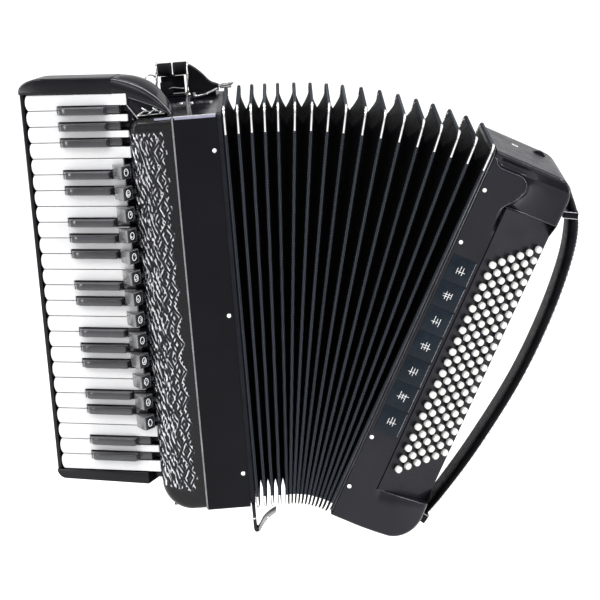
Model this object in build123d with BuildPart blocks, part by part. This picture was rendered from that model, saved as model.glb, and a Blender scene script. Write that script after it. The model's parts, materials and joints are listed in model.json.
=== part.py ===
from build123d import *
import math
import os

# Piano accordion with 41 keys and 120 bass buttons, bellows fanned open.
# Frame: the treble case stands upright, +Z up, its front faces -Y and the bellows opens
# towards +X. The origin is the middle of the treble case's bottom face, under the front panel.
# Pieces are drawn with x = 0 at the case's bellows side and shifted by half the case's width
# when they are saved. The bass end is drawn as it stands when the bellows is shut and is then
# swung open.

# ---------------------------------------------------------------- treble end
CASE_H = 500.0
CASE_HALF_D = 100.0
CASE_W = 54.0
WALL = 5.0
EDGE_R = 4.0
GRILLE_LEFT = -108.5
GRILLE_T = 2.5
GRILLE_DROP = 10.0
GRILLE_TOP_R = 14.0
GRILLE_BOTTOM_R = 37.0
SOUNDBOARD_Y = -62.0
SOUNDBOARD_LEFT = -97.0
REED_BLOCK_Y = (-35.0, 0.0, 35.0)
REED_BLOCK_T = 20.0
REED_CELLS = 11
REED_CELL_PITCH = 38.0
REED_BLOCK_W = 56.0
REED_BLOCK_X = -56.0
REED_CELL_W = 46.0
REED_RIB = 12.0
BASS_BLOCK_Y = (10.0, 50.0)
BASS_BLOCK_X = 45.0
BASS_BLOCK = (60.0, 24.0, 420.0)
PIN_R = 2.6
PIN_RISE = 2.0
PIN_HEIGHTS = (45.0, 248.0, 455.0)

LOOP_X = (-78.0, -38.0)
LOOP_Y = 84.0
LOOP_H = 38.0
LOOP_PIN_Z = 532.0
LOOP_T = 4.0
LOOP_D = 14.0
LOOP_BASE_T = 2.4
STRAP_END_X = -14.0
STRAP_T = 7.5
BELLOWS_STRAP_Y = 92.0
BELLOWS_STRAP_W = 18.0
LOOP_PIN_R = 2.5
ROLL_R = 8.5

# ---------------------------------------------------------------- keyboard
KEY_SLOPE = 23.0
KEY_ORIGIN = (-237.0, -33.5)
KEY_BOTTOM = 52.0
KEY_PITCH = 20.0
WHITE_COUNT = 24
WHITE_GAP = 0.6
WHITE_L = 128.0
WHITE_T = 11.0
BLACK_W = 9.6
BLACK_START = 45.0
BLACK_END = 112.0
BLACK_RISE = 11.5
BLACK_CLEARANCE = 1.0
SHANK_W = 6.0
PALLET_W = 8.0
ARM_T = 1.8
PALLET_DROP = 32.0
AXLE_U = 140.0
AXLE_V = 14.0
AXLE_R = 1.5
AXLE_CLEARANCE = 0.08
BED_TOP = 20.0
BED_T = 8.0
CAP_T = 16.0
TOP_CAP_T = 20.5
RIM_OUT = -7.5
RIM_IN = -2.0
RIM_V = 1.5
CAP_U = 118.0
CAP_END_U = 134.0
CAP_STEP = 8.0
CAP_GAP = 0.4
FAIRING_Y = 66.0
FAIRING_T = 46.0
FAIRING_X = (-118.0, -80.0, -58.0)
NECK_U = 20.0
NOTES = ("f", "g", "a", "b", "c", "d", "e")
SHARPS = ("f", "g", "a", "c", "d")

# ---------------------------------------------------------------- treble registers
TREBLE_TABS = 13
TAB_TOP_Z = 437.0
TAB_PITCH = 26.4
TAB_H = 17.0

# ---------------------------------------------------------------- bellows
FOLDS_PER_GROUP = 4
FIRST_RIDGE_X = 9.2
RIDGE_PITCH = 5.6
RIDGE_T = 2.4
RIDGE_BOTTOM = -3.0
RIDGE_TOP = 506.0
RIDGE_HALF_D = 100.0
RIDGE_R = 11.0
FOLD_DEPTH = 28.0
FOLD_SKIN = 1.6
FRAME_T = 5.8
FRAME_W = 20.0
LEDGE_T = 2.0
LEDGE_INSET = 12.0
LEDGE_W = 9.0
RIDGE_GAP = 0.1
FAN_ANGLES = (3.4, 7.6, 9.0, 8.2)
FAN_PIVOTS = ((35.5, -235.0), (53.0, 45.0), (65.5, 32.0), (81.5, 25.5))

# ---------------------------------------------------------------- bass end
BASS_X = 100.5
BASS_W = 115.0
BASS_BOTTOM = -2.5
BASS_TOP = 502.5
FLANGE_T = 3.4
BASS_TOP_R = 28.0
BASS_BOTTOM_R = 35.0
CAP_SET_BACK = 26.0
STRIP_X = 42.5
BOARD_BOTTOM = 51.0
BOARD_TOP = 441.5
BOARD_SLOPE = 33.3
BOARD_EDGE_Y = -98.5
BOARD_T = 2.5
BUTTON_R = 4.5
BUTTON_STEM_R = 2.5
BUTTON_HOLE_R = 3.3
BUTTON_GAP = 3.2
BUTTON_H = 4.4
BUTTON_TAIL = 14.0
BUTTON_ROWS = 20
BUTTON_ROW_PITCH = 15.0
BUTTON_COLUMN_PITCH = 11.84
BUTTON_FIRST_S = 15.8
BUTTON_FIRST_Z = 369.5
BUTTON_STAGGER = 7.1
BUTTON_NAMES = ("counterbass", "bass", "major", "minor", "seventh", "diminished")
BASS_TABS = 7
BASS_TAB_TOP_Z = 348.0
BASS_TAB_PITCH = 34.8
BASS_TAB_LEFT = 7.5
BASS_TAB_H = 34.0
BASS_TAB_T = 9.0
BASS_PIN_X = 9.5
BASS_PIN_HEIGHTS = (42.0, 111.5, 381.5, 452.0)
STRAP_W = 64.0
BRACKET_H = 20.0
BRACKET_Z = (13.0, 462.0)
BRACKET_T = (8.4, 2.4)
WHEEL_X = 75.0
WHEEL_Y = 47.0
WHEEL_Z = 496.5
WHEEL_R = 11.0
WHEEL_T = 9.0
WHEEL_BORE_R = 2.0
AIR_BUTTON_Y = 52.0
AIR_BUTTON_Z = 430.0
AIR_STEM_R = 3.0
AIR_CAP_R = 6.0
AIR_CAP_T = 4.0
AIR_STROKE = 5.0

os.makedirs("parts", exist_ok=True)


def swing(pivot, angle):
    """The turn that opens one group of folds about its pivot (x, z)."""
    x, z = pivot
    return Location((x, 0, z)) * Location((0, 0, 0), (0, angle, 0)) * Location((-x, 0, -z))


row_frame = Location((CASE_W / 2, 0, 0))
fan = [Location()]
for pivot, angle in zip(FAN_PIVOTS, FAN_ANGLES):
    fan.append(fan[-1] * swing(pivot, angle))
bass_place = fan[-1] * Location((BASS_X, 0, 0))


def save(piece, label, place=Location()):
    """Moves a finished piece to where it stands in the row's frame and writes its STEP file."""
    placed = piece.moved(row_frame * place)
    placed.label = label
    export_step(placed, f"parts/{label}.step")


# ================================================================ treble case
case_outline = [(0, -CASE_HALF_D), (-CASE_W, -CASE_HALF_D), (-CASE_W, SOUNDBOARD_Y)]
case_outline += [(SOUNDBOARD_LEFT, SOUNDBOARD_Y), (SOUNDBOARD_LEFT, 45), (-72, CASE_HALF_D)]
case_outline += [(0, CASE_HALF_D)]
INNER = CASE_HALF_D - WALL
case_hollow = [(1, -INNER), (-CASE_W + WALL, -INNER), (-CASE_W + WALL, SOUNDBOARD_Y + WALL)]
case_hollow += [(SOUNDBOARD_LEFT + WALL, SOUNDBOARD_Y + WALL), (SOUNDBOARD_LEFT + WALL, 43)]
case_hollow += [(-70, INNER), (1, INNER)]
key_centres = []
for white in range(WHITE_COUNT):
    key_centres.append(KEY_BOTTOM + KEY_PITCH * (WHITE_COUNT - white - 0.5))
black_after = [w for w in range(WHITE_COUNT - 1) if NOTES[w % 7] in SHARPS]
black_centres = [key_centres[w] - KEY_PITCH / 2 for w in black_after]

with BuildPart() as treble_case:
    with BuildSketch(Plane.XY):
        with BuildLine():
            Polyline(*case_outline, close=True)
        make_face()
    extrude(amount=CASE_H)
    top_edges = treble_case.edges().filter_by(Axis.X).group_by(Axis.Y)[0]
    corner = treble_case.edges().filter_by(Axis.Z).filter_by_position(Axis.X, -76, -71)
    fillet(top_edges, EDGE_R)
    fillet(corner, 20)
    with BuildSketch(Plane.XY.offset(WALL)):
        with BuildLine():
            Polyline(*case_hollow, close=True)
        make_face()
    extrude(amount=CASE_H - 2 * WALL, mode=Mode.SUBTRACT)
    for z in key_centres + black_centres:
        with Locations((-68, SOUNDBOARD_Y + WALL / 2, z - PALLET_DROP)):
            Box(10, WALL + 2, PALLET_W - 3, mode=Mode.SUBTRACT)
save(treble_case.part, "treble_case")

# ================================================================ reed blocks inside the treble case
with BuildPart() as treble_reed_blocks:
    for y in REED_BLOCK_Y:
        with Locations((REED_BLOCK_X, y, CASE_H / 2)):
            Box(REED_BLOCK_W, REED_BLOCK_T, CASE_H - 60)
        for cell in range(REED_CELLS):
            for side in (-1, 1):
                z = CASE_H / 2 + (cell - (REED_CELLS - 1) / 2) * REED_CELL_PITCH
                with Locations((REED_BLOCK_X, y + side * REED_BLOCK_T / 2, z)):
                    Box(REED_CELL_W, REED_BLOCK_T / 2, REED_CELL_PITCH - REED_RIB, mode=Mode.SUBTRACT)
save(treble_reed_blocks.part, "treble_reed_blocks")

# ================================================================ grille over the treble mechanism


def grille_block(inset):
    """The volume inside the grille's outer skin, set in by inset, open at the back."""
    left = GRILLE_LEFT + inset
    right = -CASE_W - 0.3
    back = -74 + (20 if inset else 0)
    with BuildPart(mode=Mode.PRIVATE) as block:
        with BuildSketch(Plane.XY):
            with BuildLine():
                start = (right, -CASE_HALF_D + inset)
                middle = ((left + right) / 2, -CASE_HALF_D + inset + GRILLE_DROP * 0.22)
                finish = (left, -CASE_HALF_D + GRILLE_DROP + inset)
                ThreePointArc(start, middle, finish)
                Polyline(finish, (left, back), (right, back), start)
            make_face()
        extrude(amount=CASE_H)
        with BuildSketch(Plane.XZ.offset(CASE_HALF_D + 20)):
            with BuildLine():
                low = 2 + inset
                high = CASE_H - inset
                low_r = GRILLE_BOTTOM_R - inset
                high_r = GRILLE_TOP_R - inset
                Line((right + 1, low), (left + low_r, low))
                RadiusArc((left + low_r, low), (left, low + low_r), low_r)
                Line((left, low + low_r), (left, high - high_r))
                RadiusArc((left, high - high_r), (left + high_r, high), high_r)
                Polyline((left + high_r, high), (right + 1, high), (right + 1, low))
            make_face()
        extrude(amount=-60, mode=Mode.INTERSECT)
    return block.part


with BuildPart() as grille:
    add(grille_block(0))
    add(grille_block(GRILLE_T), mode=Mode.SUBTRACT)
    with Locations((GRILLE_LEFT, -80.5, CASE_H / 2 + 20)):
        Box(8, 14, CASE_H - 60, mode=Mode.SUBTRACT)
    with Locations((GRILLE_LEFT + 22, -81, CASE_H)):
        Box(50, 18, 40, mode=Mode.SUBTRACT)
save(grille.part, "grille")

# ================================================================ keys
# Key profiles are drawn in (u, v): u runs up the slope from the free end, v runs down into the key.
slope = math.radians(KEY_SLOPE)
u_dir = (math.cos(slope), -math.sin(slope), 0)


def key_plane(z):
    return Plane(origin=(KEY_ORIGIN[0], KEY_ORIGIN[1], z), x_dir=u_dir, z_dir=(0, 0, 1))


def key_point(u, v):
    """A point of the key profile in the row's X and Y."""
    x = KEY_ORIGIN[0] + u * math.cos(slope) + v * math.sin(slope)
    y = KEY_ORIGIN[1] - u * math.sin(slope) + v * math.cos(slope)
    return x, y


axle_x, axle_y = key_point(AXLE_U, AXLE_V)


def shank(z):
    """The lever behind one key: the shank on the axle, the arm and the pallet."""
    with BuildPart(mode=Mode.PRIVATE) as lever:
        with BuildSketch(key_plane(z - SHANK_W / 2)):
            with Locations(((WHITE_L + AXLE_U) / 2 - 2, AXLE_V - 2.5)):
                Rectangle(AXLE_U - WHITE_L + 8, 6)
            with Locations((AXLE_U, AXLE_V)):
                Circle(4.5)
        extrude(amount=SHANK_W)
        with BuildSketch(Plane.XZ.offset(-SOUNDBOARD_Y + 8)):
            with BuildLine():
                Polyline((axle_x + 2, z - ARM_T), (-68, z - PALLET_DROP - ARM_T),
                         (-68, z - PALLET_DROP + ARM_T), (axle_x + 2, z + ARM_T), close=True)
            make_face()
        extrude(amount=8)
        with Locations((-68, SOUNDBOARD_Y - 4.2, z - PALLET_DROP)):
            Box(8, 8, PALLET_W)
        with Locations((axle_x, axle_y, z)):
            Cylinder(AXLE_R + AXLE_CLEARANCE, 2 * SHANK_W, mode=Mode.SUBTRACT)
    return lever.part


def white_key(white):
    """One white key with its notches for the neighbouring black keys."""
    z = key_centres[white]
    width = KEY_PITCH - WHITE_GAP
    notch = BLACK_W / 2 + BLACK_CLEARANCE
    with BuildPart(mode=Mode.PRIVATE) as key:
        with BuildSketch(key_plane(z - width / 2)):
            with Locations((WHITE_L / 2, WHITE_T / 2)):
                Rectangle(WHITE_L, WHITE_T)
        extrude(amount=width)
        fillet(key.edges().group_by(Axis.X)[0], 3)
        for side, other in ((-1, white), (1, white - 1)):
            if other in black_after:
                edge = z + side * KEY_PITCH / 2
                with BuildSketch(key_plane(edge - notch)):
                    with Locations(((WHITE_L + BLACK_START) / 2, WHITE_T / 2)):
                        Rectangle(WHITE_L - BLACK_START + 3, WHITE_T + 2)
                extrude(amount=2 * notch, mode=Mode.SUBTRACT)
        add(shank(z))
    return key.part


def black_key(z):
    """One black key: sloped front, high playing surface, low tail under the registers."""
    with BuildPart(mode=Mode.PRIVATE) as key:
        with BuildSketch(key_plane(z - BLACK_W / 2)):
            with BuildLine():
                Polyline((BLACK_START + 1, 10), (BLACK_START + 1, -1), (BLACK_START + 7, -9.5),
                         (BLACK_START + 14, -BLACK_RISE), (BLACK_END, -BLACK_RISE),
                         (BLACK_END, 1), (WHITE_L, 1), (WHITE_L, 10), close=True)
            make_face()
        extrude(amount=BLACK_W)
        add(shank(z))
    return key.part


for note in NOTES:
    with BuildPart() as white_keys:
        for white in range(WHITE_COUNT):
            if NOTES[white % 7] == note:
                add(white_key(white))
    save(white_keys.part, f"white_keys_{note}")

for note in SHARPS:
    with BuildPart() as black_keys:
        for white, z in zip(black_after, black_centres):
            if NOTES[white % 7] == note:
                add(black_key(z))
    save(black_keys.part, f"black_keys_{note}_sharp")

with BuildPart() as key_axle:
    with BuildSketch(Plane.XY.offset(KEY_BOTTOM - CAP_T / 2)):
        with Locations((axle_x, axle_y)):
            Circle(AXLE_R)
    extrude(amount=KEY_PITCH * WHITE_COUNT + CAP_T)
save(key_axle.part, "key_axle")

# ================================================================ keyboard body: bed, front lip and end caps
key_top = KEY_BOTTOM + KEY_PITCH * WHITE_COUNT
with BuildPart() as keyboard_body:
    with BuildSketch(key_plane(KEY_BOTTOM - CAP_T)):
        with BuildLine():
            Polyline((RIM_OUT, RIM_V), (RIM_IN, RIM_V), (RIM_IN, BED_TOP), (AXLE_U, BED_TOP),
                     (AXLE_U, BED_TOP + BED_T), (RIM_IN, BED_TOP + BED_T), (RIM_OUT, BED_TOP), close=True)
        make_face()
    extrude(amount=KEY_PITCH * WHITE_COUNT + CAP_T + TOP_CAP_T)
    for z, thickness in ((KEY_BOTTOM - CAP_T, CAP_T), (key_top + CAP_GAP, TOP_CAP_T)):
        with BuildSketch(key_plane(z)):
            with BuildLine():
                Polyline((RIM_OUT, 6), (RIM_IN, -2), (CAP_U, -2), (CAP_U, CAP_STEP), (CAP_END_U, CAP_STEP),
                         (CAP_END_U, BED_TOP + BED_T), (RIM_IN, BED_TOP + BED_T), (RIM_OUT, BED_TOP),
                         close=True)
            make_face()
        extrude(amount=thickness - CAP_GAP)
    back_low = key_point(NECK_U, BED_TOP + BED_T)
    back_high = key_point(AXLE_U, BED_TOP + BED_T)
    neck_outline = [back_low, back_high, (SOUNDBOARD_LEFT - 0.2, SOUNDBOARD_Y + 2)]
    neck_outline += [(SOUNDBOARD_LEFT - 0.2, 20), (back_low[0] + 10, back_low[1] + 14)]
    with BuildSketch(Plane.XY.offset(KEY_BOTTOM - CAP_T)):
        with BuildLine():
            Polyline(*neck_outline, close=True)
        make_face()
        with BuildLine():
            Polyline((back_low[0] + 22, back_low[1]), (SOUNDBOARD_LEFT - 8, SOUNDBOARD_Y + 12),
                     (SOUNDBOARD_LEFT - 8, 12), (back_low[0] + 22, back_low[1] + 8), close=True)
        make_face(mode=Mode.SUBTRACT)
    extrude(amount=CASE_H - 2 * CAP_T)
    for z in (KEY_BOTTOM - CAP_T, KEY_BOTTOM - 3 * CAP_T + CASE_H - WALL):
        with BuildSketch(Plane.XY.offset(z)):
            with BuildLine():
                Polyline(*neck_outline, close=True)
            make_face()
        extrude(amount=WALL)
    with BuildSketch(Plane.XZ.offset(FAIRING_Y)):
        with BuildLine():
            left, middle, right = FAIRING_X
            fairing_low = CASE_H + 0.3
            Line((left, fairing_low), (left, key_top + 15))
            ThreePointArc((left, key_top + 15), (middle, key_top + 2), (right, fairing_low))
            Line((right, fairing_low), (left, fairing_low))
        make_face()
    extrude(amount=-FAIRING_T)
save(keyboard_body.part, "keyboard_body")

# ================================================================ treble registers
for tab in range(TREBLE_TABS):
    with BuildPart() as treble_register:
        with BuildSketch(Plane.XY.offset(TAB_TOP_Z - tab * TAB_PITCH - TAB_H / 2)):
            with BuildLine():
                Polyline((-133.5, -82.0), (-132.5, -88.0), (-121.5, -108.0), (-110.5, -94.5),
                         (-110.5, -87.0), (-119.0, -87.0), close=True)
            make_face()
        extrude(amount=TAB_H)
        with Locations((-109, -85.9, TAB_TOP_Z - tab * TAB_PITCH)):
            Box(6, 2.2, 6)
    save(treble_register.part, f"treble_register_{tab + 1}")

# ================================================================ fittings of the treble end
with BuildPart() as treble_bellows_pins:
    for side in (-1, 1):
        with BuildSketch(Plane.XZ.offset(side * CASE_HALF_D)):
            for z in PIN_HEIGHTS:
                with Locations((-6, z)):
                    Circle(PIN_R)
        extrude(amount=side * PIN_RISE)
save(treble_bellows_pins.part, "treble_bellows_pins")

with BuildPart() as strap_brackets:
    for x in LOOP_X:
        with Locations((x, LOOP_Y, CASE_H + LOOP_H / 2)):
            Box(LOOP_T, LOOP_D, LOOP_H)
    with Locations((sum(LOOP_X) / 2, LOOP_Y, CASE_H + LOOP_BASE_T / 2)):
        Box(LOOP_X[1] - LOOP_X[0] + 2 * LOOP_T, LOOP_D, LOOP_BASE_T)
    with Locations(Location((sum(LOOP_X) / 2, LOOP_Y, LOOP_PIN_Z), (0, 90, 0))):
        Cylinder(LOOP_PIN_R, LOOP_X[1] - LOOP_X[0])
    with Locations((-16, 60, CASE_H + 3)):
        Box(26, 9, 6)
    with Locations((-40, CASE_HALF_D + 1.2, 30)):
        Box(44, 2.4, 24)
save(strap_brackets.part, "strap_brackets")

with BuildPart() as shoulder_straps:
    with BuildSketch(Plane.YZ.offset(LOOP_X[0] + 3)):
        with Locations((LOOP_Y, LOOP_PIN_Z)):
            Circle(ROLL_R)
            Circle(LOOP_PIN_R + 0.3, mode=Mode.SUBTRACT)
    extrude(amount=LOOP_X[1] - LOOP_X[0] - 6)
    with BuildSketch(Plane.XZ.offset(-LOOP_Y - 15)):
        with BuildLine():
            Polyline((LOOP_X[0] + 3, CASE_H + 0.4), (LOOP_X[0] + 3, LOOP_PIN_Z + 11),
                     (LOOP_X[1], LOOP_PIN_Z + 14), (STRAP_END_X, CASE_H + 19), (STRAP_END_X, CASE_H + 0.4), close=True)
        make_face()
    extrude(amount=STRAP_T)
save(shoulder_straps.part, "shoulder_straps")

with BuildPart() as bellows_strap:
    with BuildSketch(Plane.XZ.offset(BELLOWS_STRAP_Y)):
        with BuildLine():
            outer = [(4.0, 2.4), (4.6, -30.5), (7.0, -31.0), (14.0, -20.0), (31.0, -8.0)]
            inner = [(31.0, -11.5), (15.5, -24.0), (8.0, -34.5), (1.4, -34.5), (0.4, 2.4)]
            Polyline(*outer, *inner, close=True)
        make_face()
    extrude(amount=-BELLOWS_STRAP_W)
save(bellows_strap.part, "bellows_strap")

# ================================================================ bellows
ridge_h = RIDGE_TOP - RIDGE_BOTTOM
ridge_mid = (RIDGE_TOP + RIDGE_BOTTOM) / 2
valley_h = ridge_h - 2 * FOLD_DEPTH
valley_half_d = RIDGE_HALF_D - FOLD_DEPTH


def ring(x, thickness, height, half_depth, width):
    """A rectangular frame square to X, starting at x."""
    with BuildPart(mode=Mode.PRIVATE) as frame:
        with BuildSketch(Plane.YZ.offset(x)):
            with Locations((0, ridge_mid)):
                RectangleRounded(2 * half_depth, height, RIDGE_R)
                Rectangle(2 * (half_depth - width), height - 2 * width, mode=Mode.SUBTRACT)
        extrude(amount=thickness)
    return frame.part


with BuildPart() as treble_bellows_frame:
    add(ring(0.2, FRAME_T, CASE_H - 2, CASE_HALF_D - 1, FRAME_W))
    add(ring(0.2 + FRAME_T, LEDGE_T, CASE_H - 2 * LEDGE_INSET, CASE_HALF_D - LEDGE_INSET, LEDGE_W))
    add(ring(FIRST_RIDGE_X - RIDGE_T / 2, RIDGE_T, ridge_h, RIDGE_HALF_D, FOLD_DEPTH))
save(treble_bellows_frame.part, "treble_bellows_frame")

for group in range(1, len(FAN_ANGLES)):
    ridge_x = FIRST_RIDGE_X + RIDGE_PITCH * FOLDS_PER_GROUP * group
    with BuildPart() as bellows_ring:
        add(ring(ridge_x - RIDGE_T / 2, RIDGE_T, ridge_h, RIDGE_HALF_D, FOLD_DEPTH))
    save(bellows_ring.part, f"bellows_ring_{group}", fan[group])


def fold_sections(group):
    """Place and (height, half depth) of each ridge and valley of one group of folds."""
    start = FIRST_RIDGE_X + RIDGE_PITCH * FOLDS_PER_GROUP * group
    steps = 2 * FOLDS_PER_GROUP
    sections = []
    for step in range(steps + 1):
        share = step / steps
        x = start + RIDGE_PITCH * FOLDS_PER_GROUP * share
        if step == 0:
            x += RIDGE_T / 2 + RIDGE_GAP
        if step == steps:
            x -= RIDGE_T / 2 + RIDGE_GAP
        place = fan[group] * swing(FAN_PIVOTS[group], FAN_ANGLES[group] * share)
        size = (valley_h, valley_half_d) if step % 2 else (ridge_h - 2, RIDGE_HALF_D - 1)
        sections.append((place * Location((x, 0, ridge_mid), (0, 90, 0)), size))
    return sections


def fold_tube(group, inset):
    """A zigzag tube through the fold sections, drawn in by inset."""
    with BuildPart(mode=Mode.PRIVATE) as tube:
        for place, (height, half_depth) in fold_sections(group):
            with BuildSketch(Plane(place)):
                Rectangle(height - 2 * inset, 2 * (half_depth - inset))
        loft(ruled=True)
    return tube.part


with BuildPart() as bellows_folds:
    for group in range(len(FAN_ANGLES)):
        add(fold_tube(group, 0) - fold_tube(group, FOLD_SKIN))
save(bellows_folds.part, "bellows_folds")

# ================================================================ bass case, drawn with x = 0 at its bellows frame
with BuildPart() as bass_bellows_frame:
    add(ring(-RIDGE_T - 0.5, RIDGE_T, ridge_h, RIDGE_HALF_D, FOLD_DEPTH))
    add(ring(-0.5, FLANGE_T + 0.5, CASE_H, CASE_HALF_D - 1, FRAME_W))
save(bass_bellows_frame.part, "bass_bellows_frame", bass_place)

phi = math.radians(BOARD_SLOPE)
board_end_y = BOARD_EDGE_Y + (BASS_W - STRIP_X) * math.tan(phi)
cap_end_y = -CASE_HALF_D + CAP_SET_BACK
case_x = FLANGE_T + 0.2
with BuildPart() as bass_hollow:
    with BuildSketch(Plane.XY):
        with BuildLine():
            Polyline((0, -80), (38, -80), (BASS_W - WALL, -30), (BASS_W - WALL, 84),
                     (BASS_W - 12, CASE_HALF_D - WALL), (0, CASE_HALF_D - WALL), close=True)
        make_face()
    extrude(amount=BASS_TOP)
    with BuildSketch(Plane.XZ.offset(-CASE_HALF_D)):
        with BuildLine():
            low = BASS_BOTTOM + WALL
            high = BASS_TOP - WALL
            right = BASS_W - WALL
            low_r = BASS_BOTTOM_R - WALL
            high_r = BASS_TOP_R - WALL
            Line((-1, low), (right - low_r, low))
            RadiusArc((right - low_r, low), (right, low + low_r), -low_r)
            Line((right, low + low_r), (right, high - high_r))
            RadiusArc((right, high - high_r), (right - high_r, high), -high_r)
            Polyline((right - high_r, high), (-1, high), (-1, low))
        make_face()
    extrude(amount=2 * CASE_HALF_D, mode=Mode.INTERSECT)

with BuildPart() as bass_case:
    with BuildSketch(Plane.XY.offset(BASS_BOTTOM)):
        with BuildLine():
            Line((case_x, -CASE_HALF_D), (STRIP_X, -CASE_HALF_D))
            ThreePointArc((STRIP_X, -CASE_HALF_D), (STRIP_X + 45, -CASE_HALF_D + 8), (BASS_W, cap_end_y))
            Polyline((BASS_W, cap_end_y), (BASS_W, CASE_HALF_D), (case_x, CASE_HALF_D),
                     (case_x, -CASE_HALF_D))
        make_face()
    extrude(amount=BASS_TOP - BASS_BOTTOM)
    outer = bass_case.edges().filter_by(Axis.Y).group_by(Axis.X)[-1].sort_by(Axis.Z)
    fillet(outer[0], BASS_BOTTOM_R)
    outer = bass_case.edges().filter_by(Axis.Y).group_by(Axis.X)[-1].sort_by(Axis.Z)
    fillet(outer[-1], BASS_TOP_R)
    back_corner = bass_case.edges().filter_by(Axis.Z).sort_by(Axis.X)[-2:].sort_by(Axis.Y)[-1]
    fillet(back_corner, 12)
    with BuildSketch(Plane.XY.offset(BOARD_BOTTOM)):
        with BuildLine():
            Polyline((STRIP_X, BOARD_EDGE_Y + BOARD_T / math.cos(phi)), (STRIP_X, -CASE_HALF_D - 1),
                     (BASS_W + 1, -CASE_HALF_D - 1),
                     (BASS_W + 1, board_end_y + BOARD_T / math.cos(phi) + math.tan(phi)), close=True)
        make_face()
    extrude(amount=BOARD_TOP - BOARD_BOTTOM, mode=Mode.SUBTRACT)
    add(bass_hollow.part, mode=Mode.SUBTRACT)
    with BuildSketch(Plane(origin=(STRIP_X, BOARD_EDGE_Y, 246), x_dir=(math.cos(phi), math.sin(phi), 0),
                           z_dir=(math.sin(phi), -math.cos(phi), 0))):
        with Locations((43, 0)):
            Rectangle(72, 350)
    extrude(amount=-24, mode=Mode.SUBTRACT)
    tab_span = BASS_TAB_PITCH * BASS_TABS
    tab_mid = BASS_TAB_TOP_Z - BASS_TAB_PITCH * (BASS_TABS - 1) / 2
    with Locations(((BASS_TAB_LEFT + STRIP_X) / 2, -CASE_HALF_D + 6, tab_mid)):
        Box(STRIP_X - BASS_TAB_LEFT + 1, 14, tab_span + 1, mode=Mode.SUBTRACT)
    with Locations((WHEEL_X, WHEEL_Y, BASS_TOP)):
        Box(2 * WHEEL_R + 2, WHEEL_T + 2, 12, mode=Mode.SUBTRACT)
    with Locations(Location((BASS_W, AIR_BUTTON_Y, AIR_BUTTON_Z), (0, 90, 0))):
        Cylinder(AIR_STEM_R + 0.8, 20, mode=Mode.SUBTRACT)
save(bass_case.part, "bass_case", bass_place)

# ================================================================ button board and the 120 buttons
board_plane = Plane(origin=(STRIP_X, BOARD_EDGE_Y, 0), x_dir=(math.cos(phi), math.sin(phi), 0),
                    z_dir=(math.sin(phi), -math.cos(phi), 0))
board_l = (BASS_W - STRIP_X) / math.cos(phi)


def button_spots(column):
    """Centres of one column's buttons on the board, as (along the slope, height)."""
    s = BUTTON_FIRST_S + column * BUTTON_COLUMN_PITCH
    first = BUTTON_FIRST_Z + column * BUTTON_STAGGER
    return [(s, first - row * BUTTON_ROW_PITCH) for row in range(BUTTON_ROWS)]


with BuildPart() as button_board:
    with BuildSketch(board_plane):
        with Locations((board_l / 2 + 0.9, (BOARD_BOTTOM + BOARD_TOP) / 2)):
            Rectangle(board_l - 2.4, BOARD_TOP - BOARD_BOTTOM - 0.6)
        for column in range(len(BUTTON_NAMES)):
            with Locations(*button_spots(column)):
                Circle(BUTTON_HOLE_R, mode=Mode.SUBTRACT)
    extrude(amount=-BOARD_T + 0.2)
save(button_board.part, "button_board", bass_place)

for column, name in enumerate(BUTTON_NAMES):
    with BuildPart() as buttons:
        with BuildSketch(board_plane.offset(BUTTON_GAP)):
            with Locations(*button_spots(column)):
                Circle(BUTTON_R)
        extrude(amount=BUTTON_H)
        with BuildSketch(board_plane.offset(-BUTTON_TAIL)):
            with Locations(*button_spots(column)):
                Circle(BUTTON_STEM_R)
        extrude(amount=BUTTON_TAIL + BUTTON_GAP)
    save(buttons.part, f"{name}_buttons", bass_place)

# ================================================================ bass registers
for tab in range(BASS_TABS):
    z = BASS_TAB_TOP_Z - tab * BASS_TAB_PITCH
    with BuildPart() as bass_register:
        with BuildSketch(Plane.XY.offset(z - BASS_TAB_H / 2)):
            with BuildLine():
                Polyline((BASS_TAB_LEFT, -CASE_HALF_D + BASS_TAB_T), (BASS_TAB_LEFT, -CASE_HALF_D - 1),
                         (STRIP_X - 4, -CASE_HALF_D - 1), (STRIP_X - 0.5, -CASE_HALF_D + 2),
                         (STRIP_X - 0.5, -CASE_HALF_D + BASS_TAB_T), close=True)
            make_face()
        extrude(amount=BASS_TAB_H)
    save(bass_register.part, f"bass_register_{tab + 1}", bass_place)

# ================================================================ inside and outside fittings of the bass end
with BuildPart() as bass_reed_block:
    for y in BASS_BLOCK_Y:
        with Locations((BASS_BLOCK_X, y, CASE_H / 2)):
            Box(*BASS_BLOCK)
save(bass_reed_block.part, "bass_reed_block", bass_place)

strap_outer = [(120, 486), (147, 452), (161, 400), (168, 320), (166, 230), (153, 130), (138, 60), (127, 24)]
strap_inner = [(120, 28), (128, 64), (141, 134), (153, 230), (154, 318), (147, 394), (134, 442), (118, 474)]
with BuildPart() as bass_strap:
    with BuildSketch(Plane.XZ.offset(-STRAP_W / 2)):
        with BuildLine():
            Spline(*strap_outer)
            Line(strap_outer[-1], strap_inner[0])
            Spline(*strap_inner)
            Line(strap_inner[-1], strap_outer[0])
        make_face()
    extrude(amount=STRAP_W)
save(bass_strap.part, "bass_strap", bass_place)

with BuildPart() as bass_pins_and_brackets:
    for side in (-1, 1):
        with BuildSketch(Plane.XZ.offset(side * CASE_HALF_D)):
            for z in BASS_PIN_HEIGHTS:
                with Locations((BASS_PIN_X, z)):
                    Circle(PIN_R)
        extrude(amount=side * PIN_RISE)
    for z, thickness in zip(BRACKET_Z, BRACKET_T):
        with Locations((BASS_W + 0.2 + thickness / 2, 0, z)):
            Box(thickness, STRAP_W + 8, BRACKET_H)
save(bass_pins_and_brackets.part, "bass_pins_and_brackets", bass_place)

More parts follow.
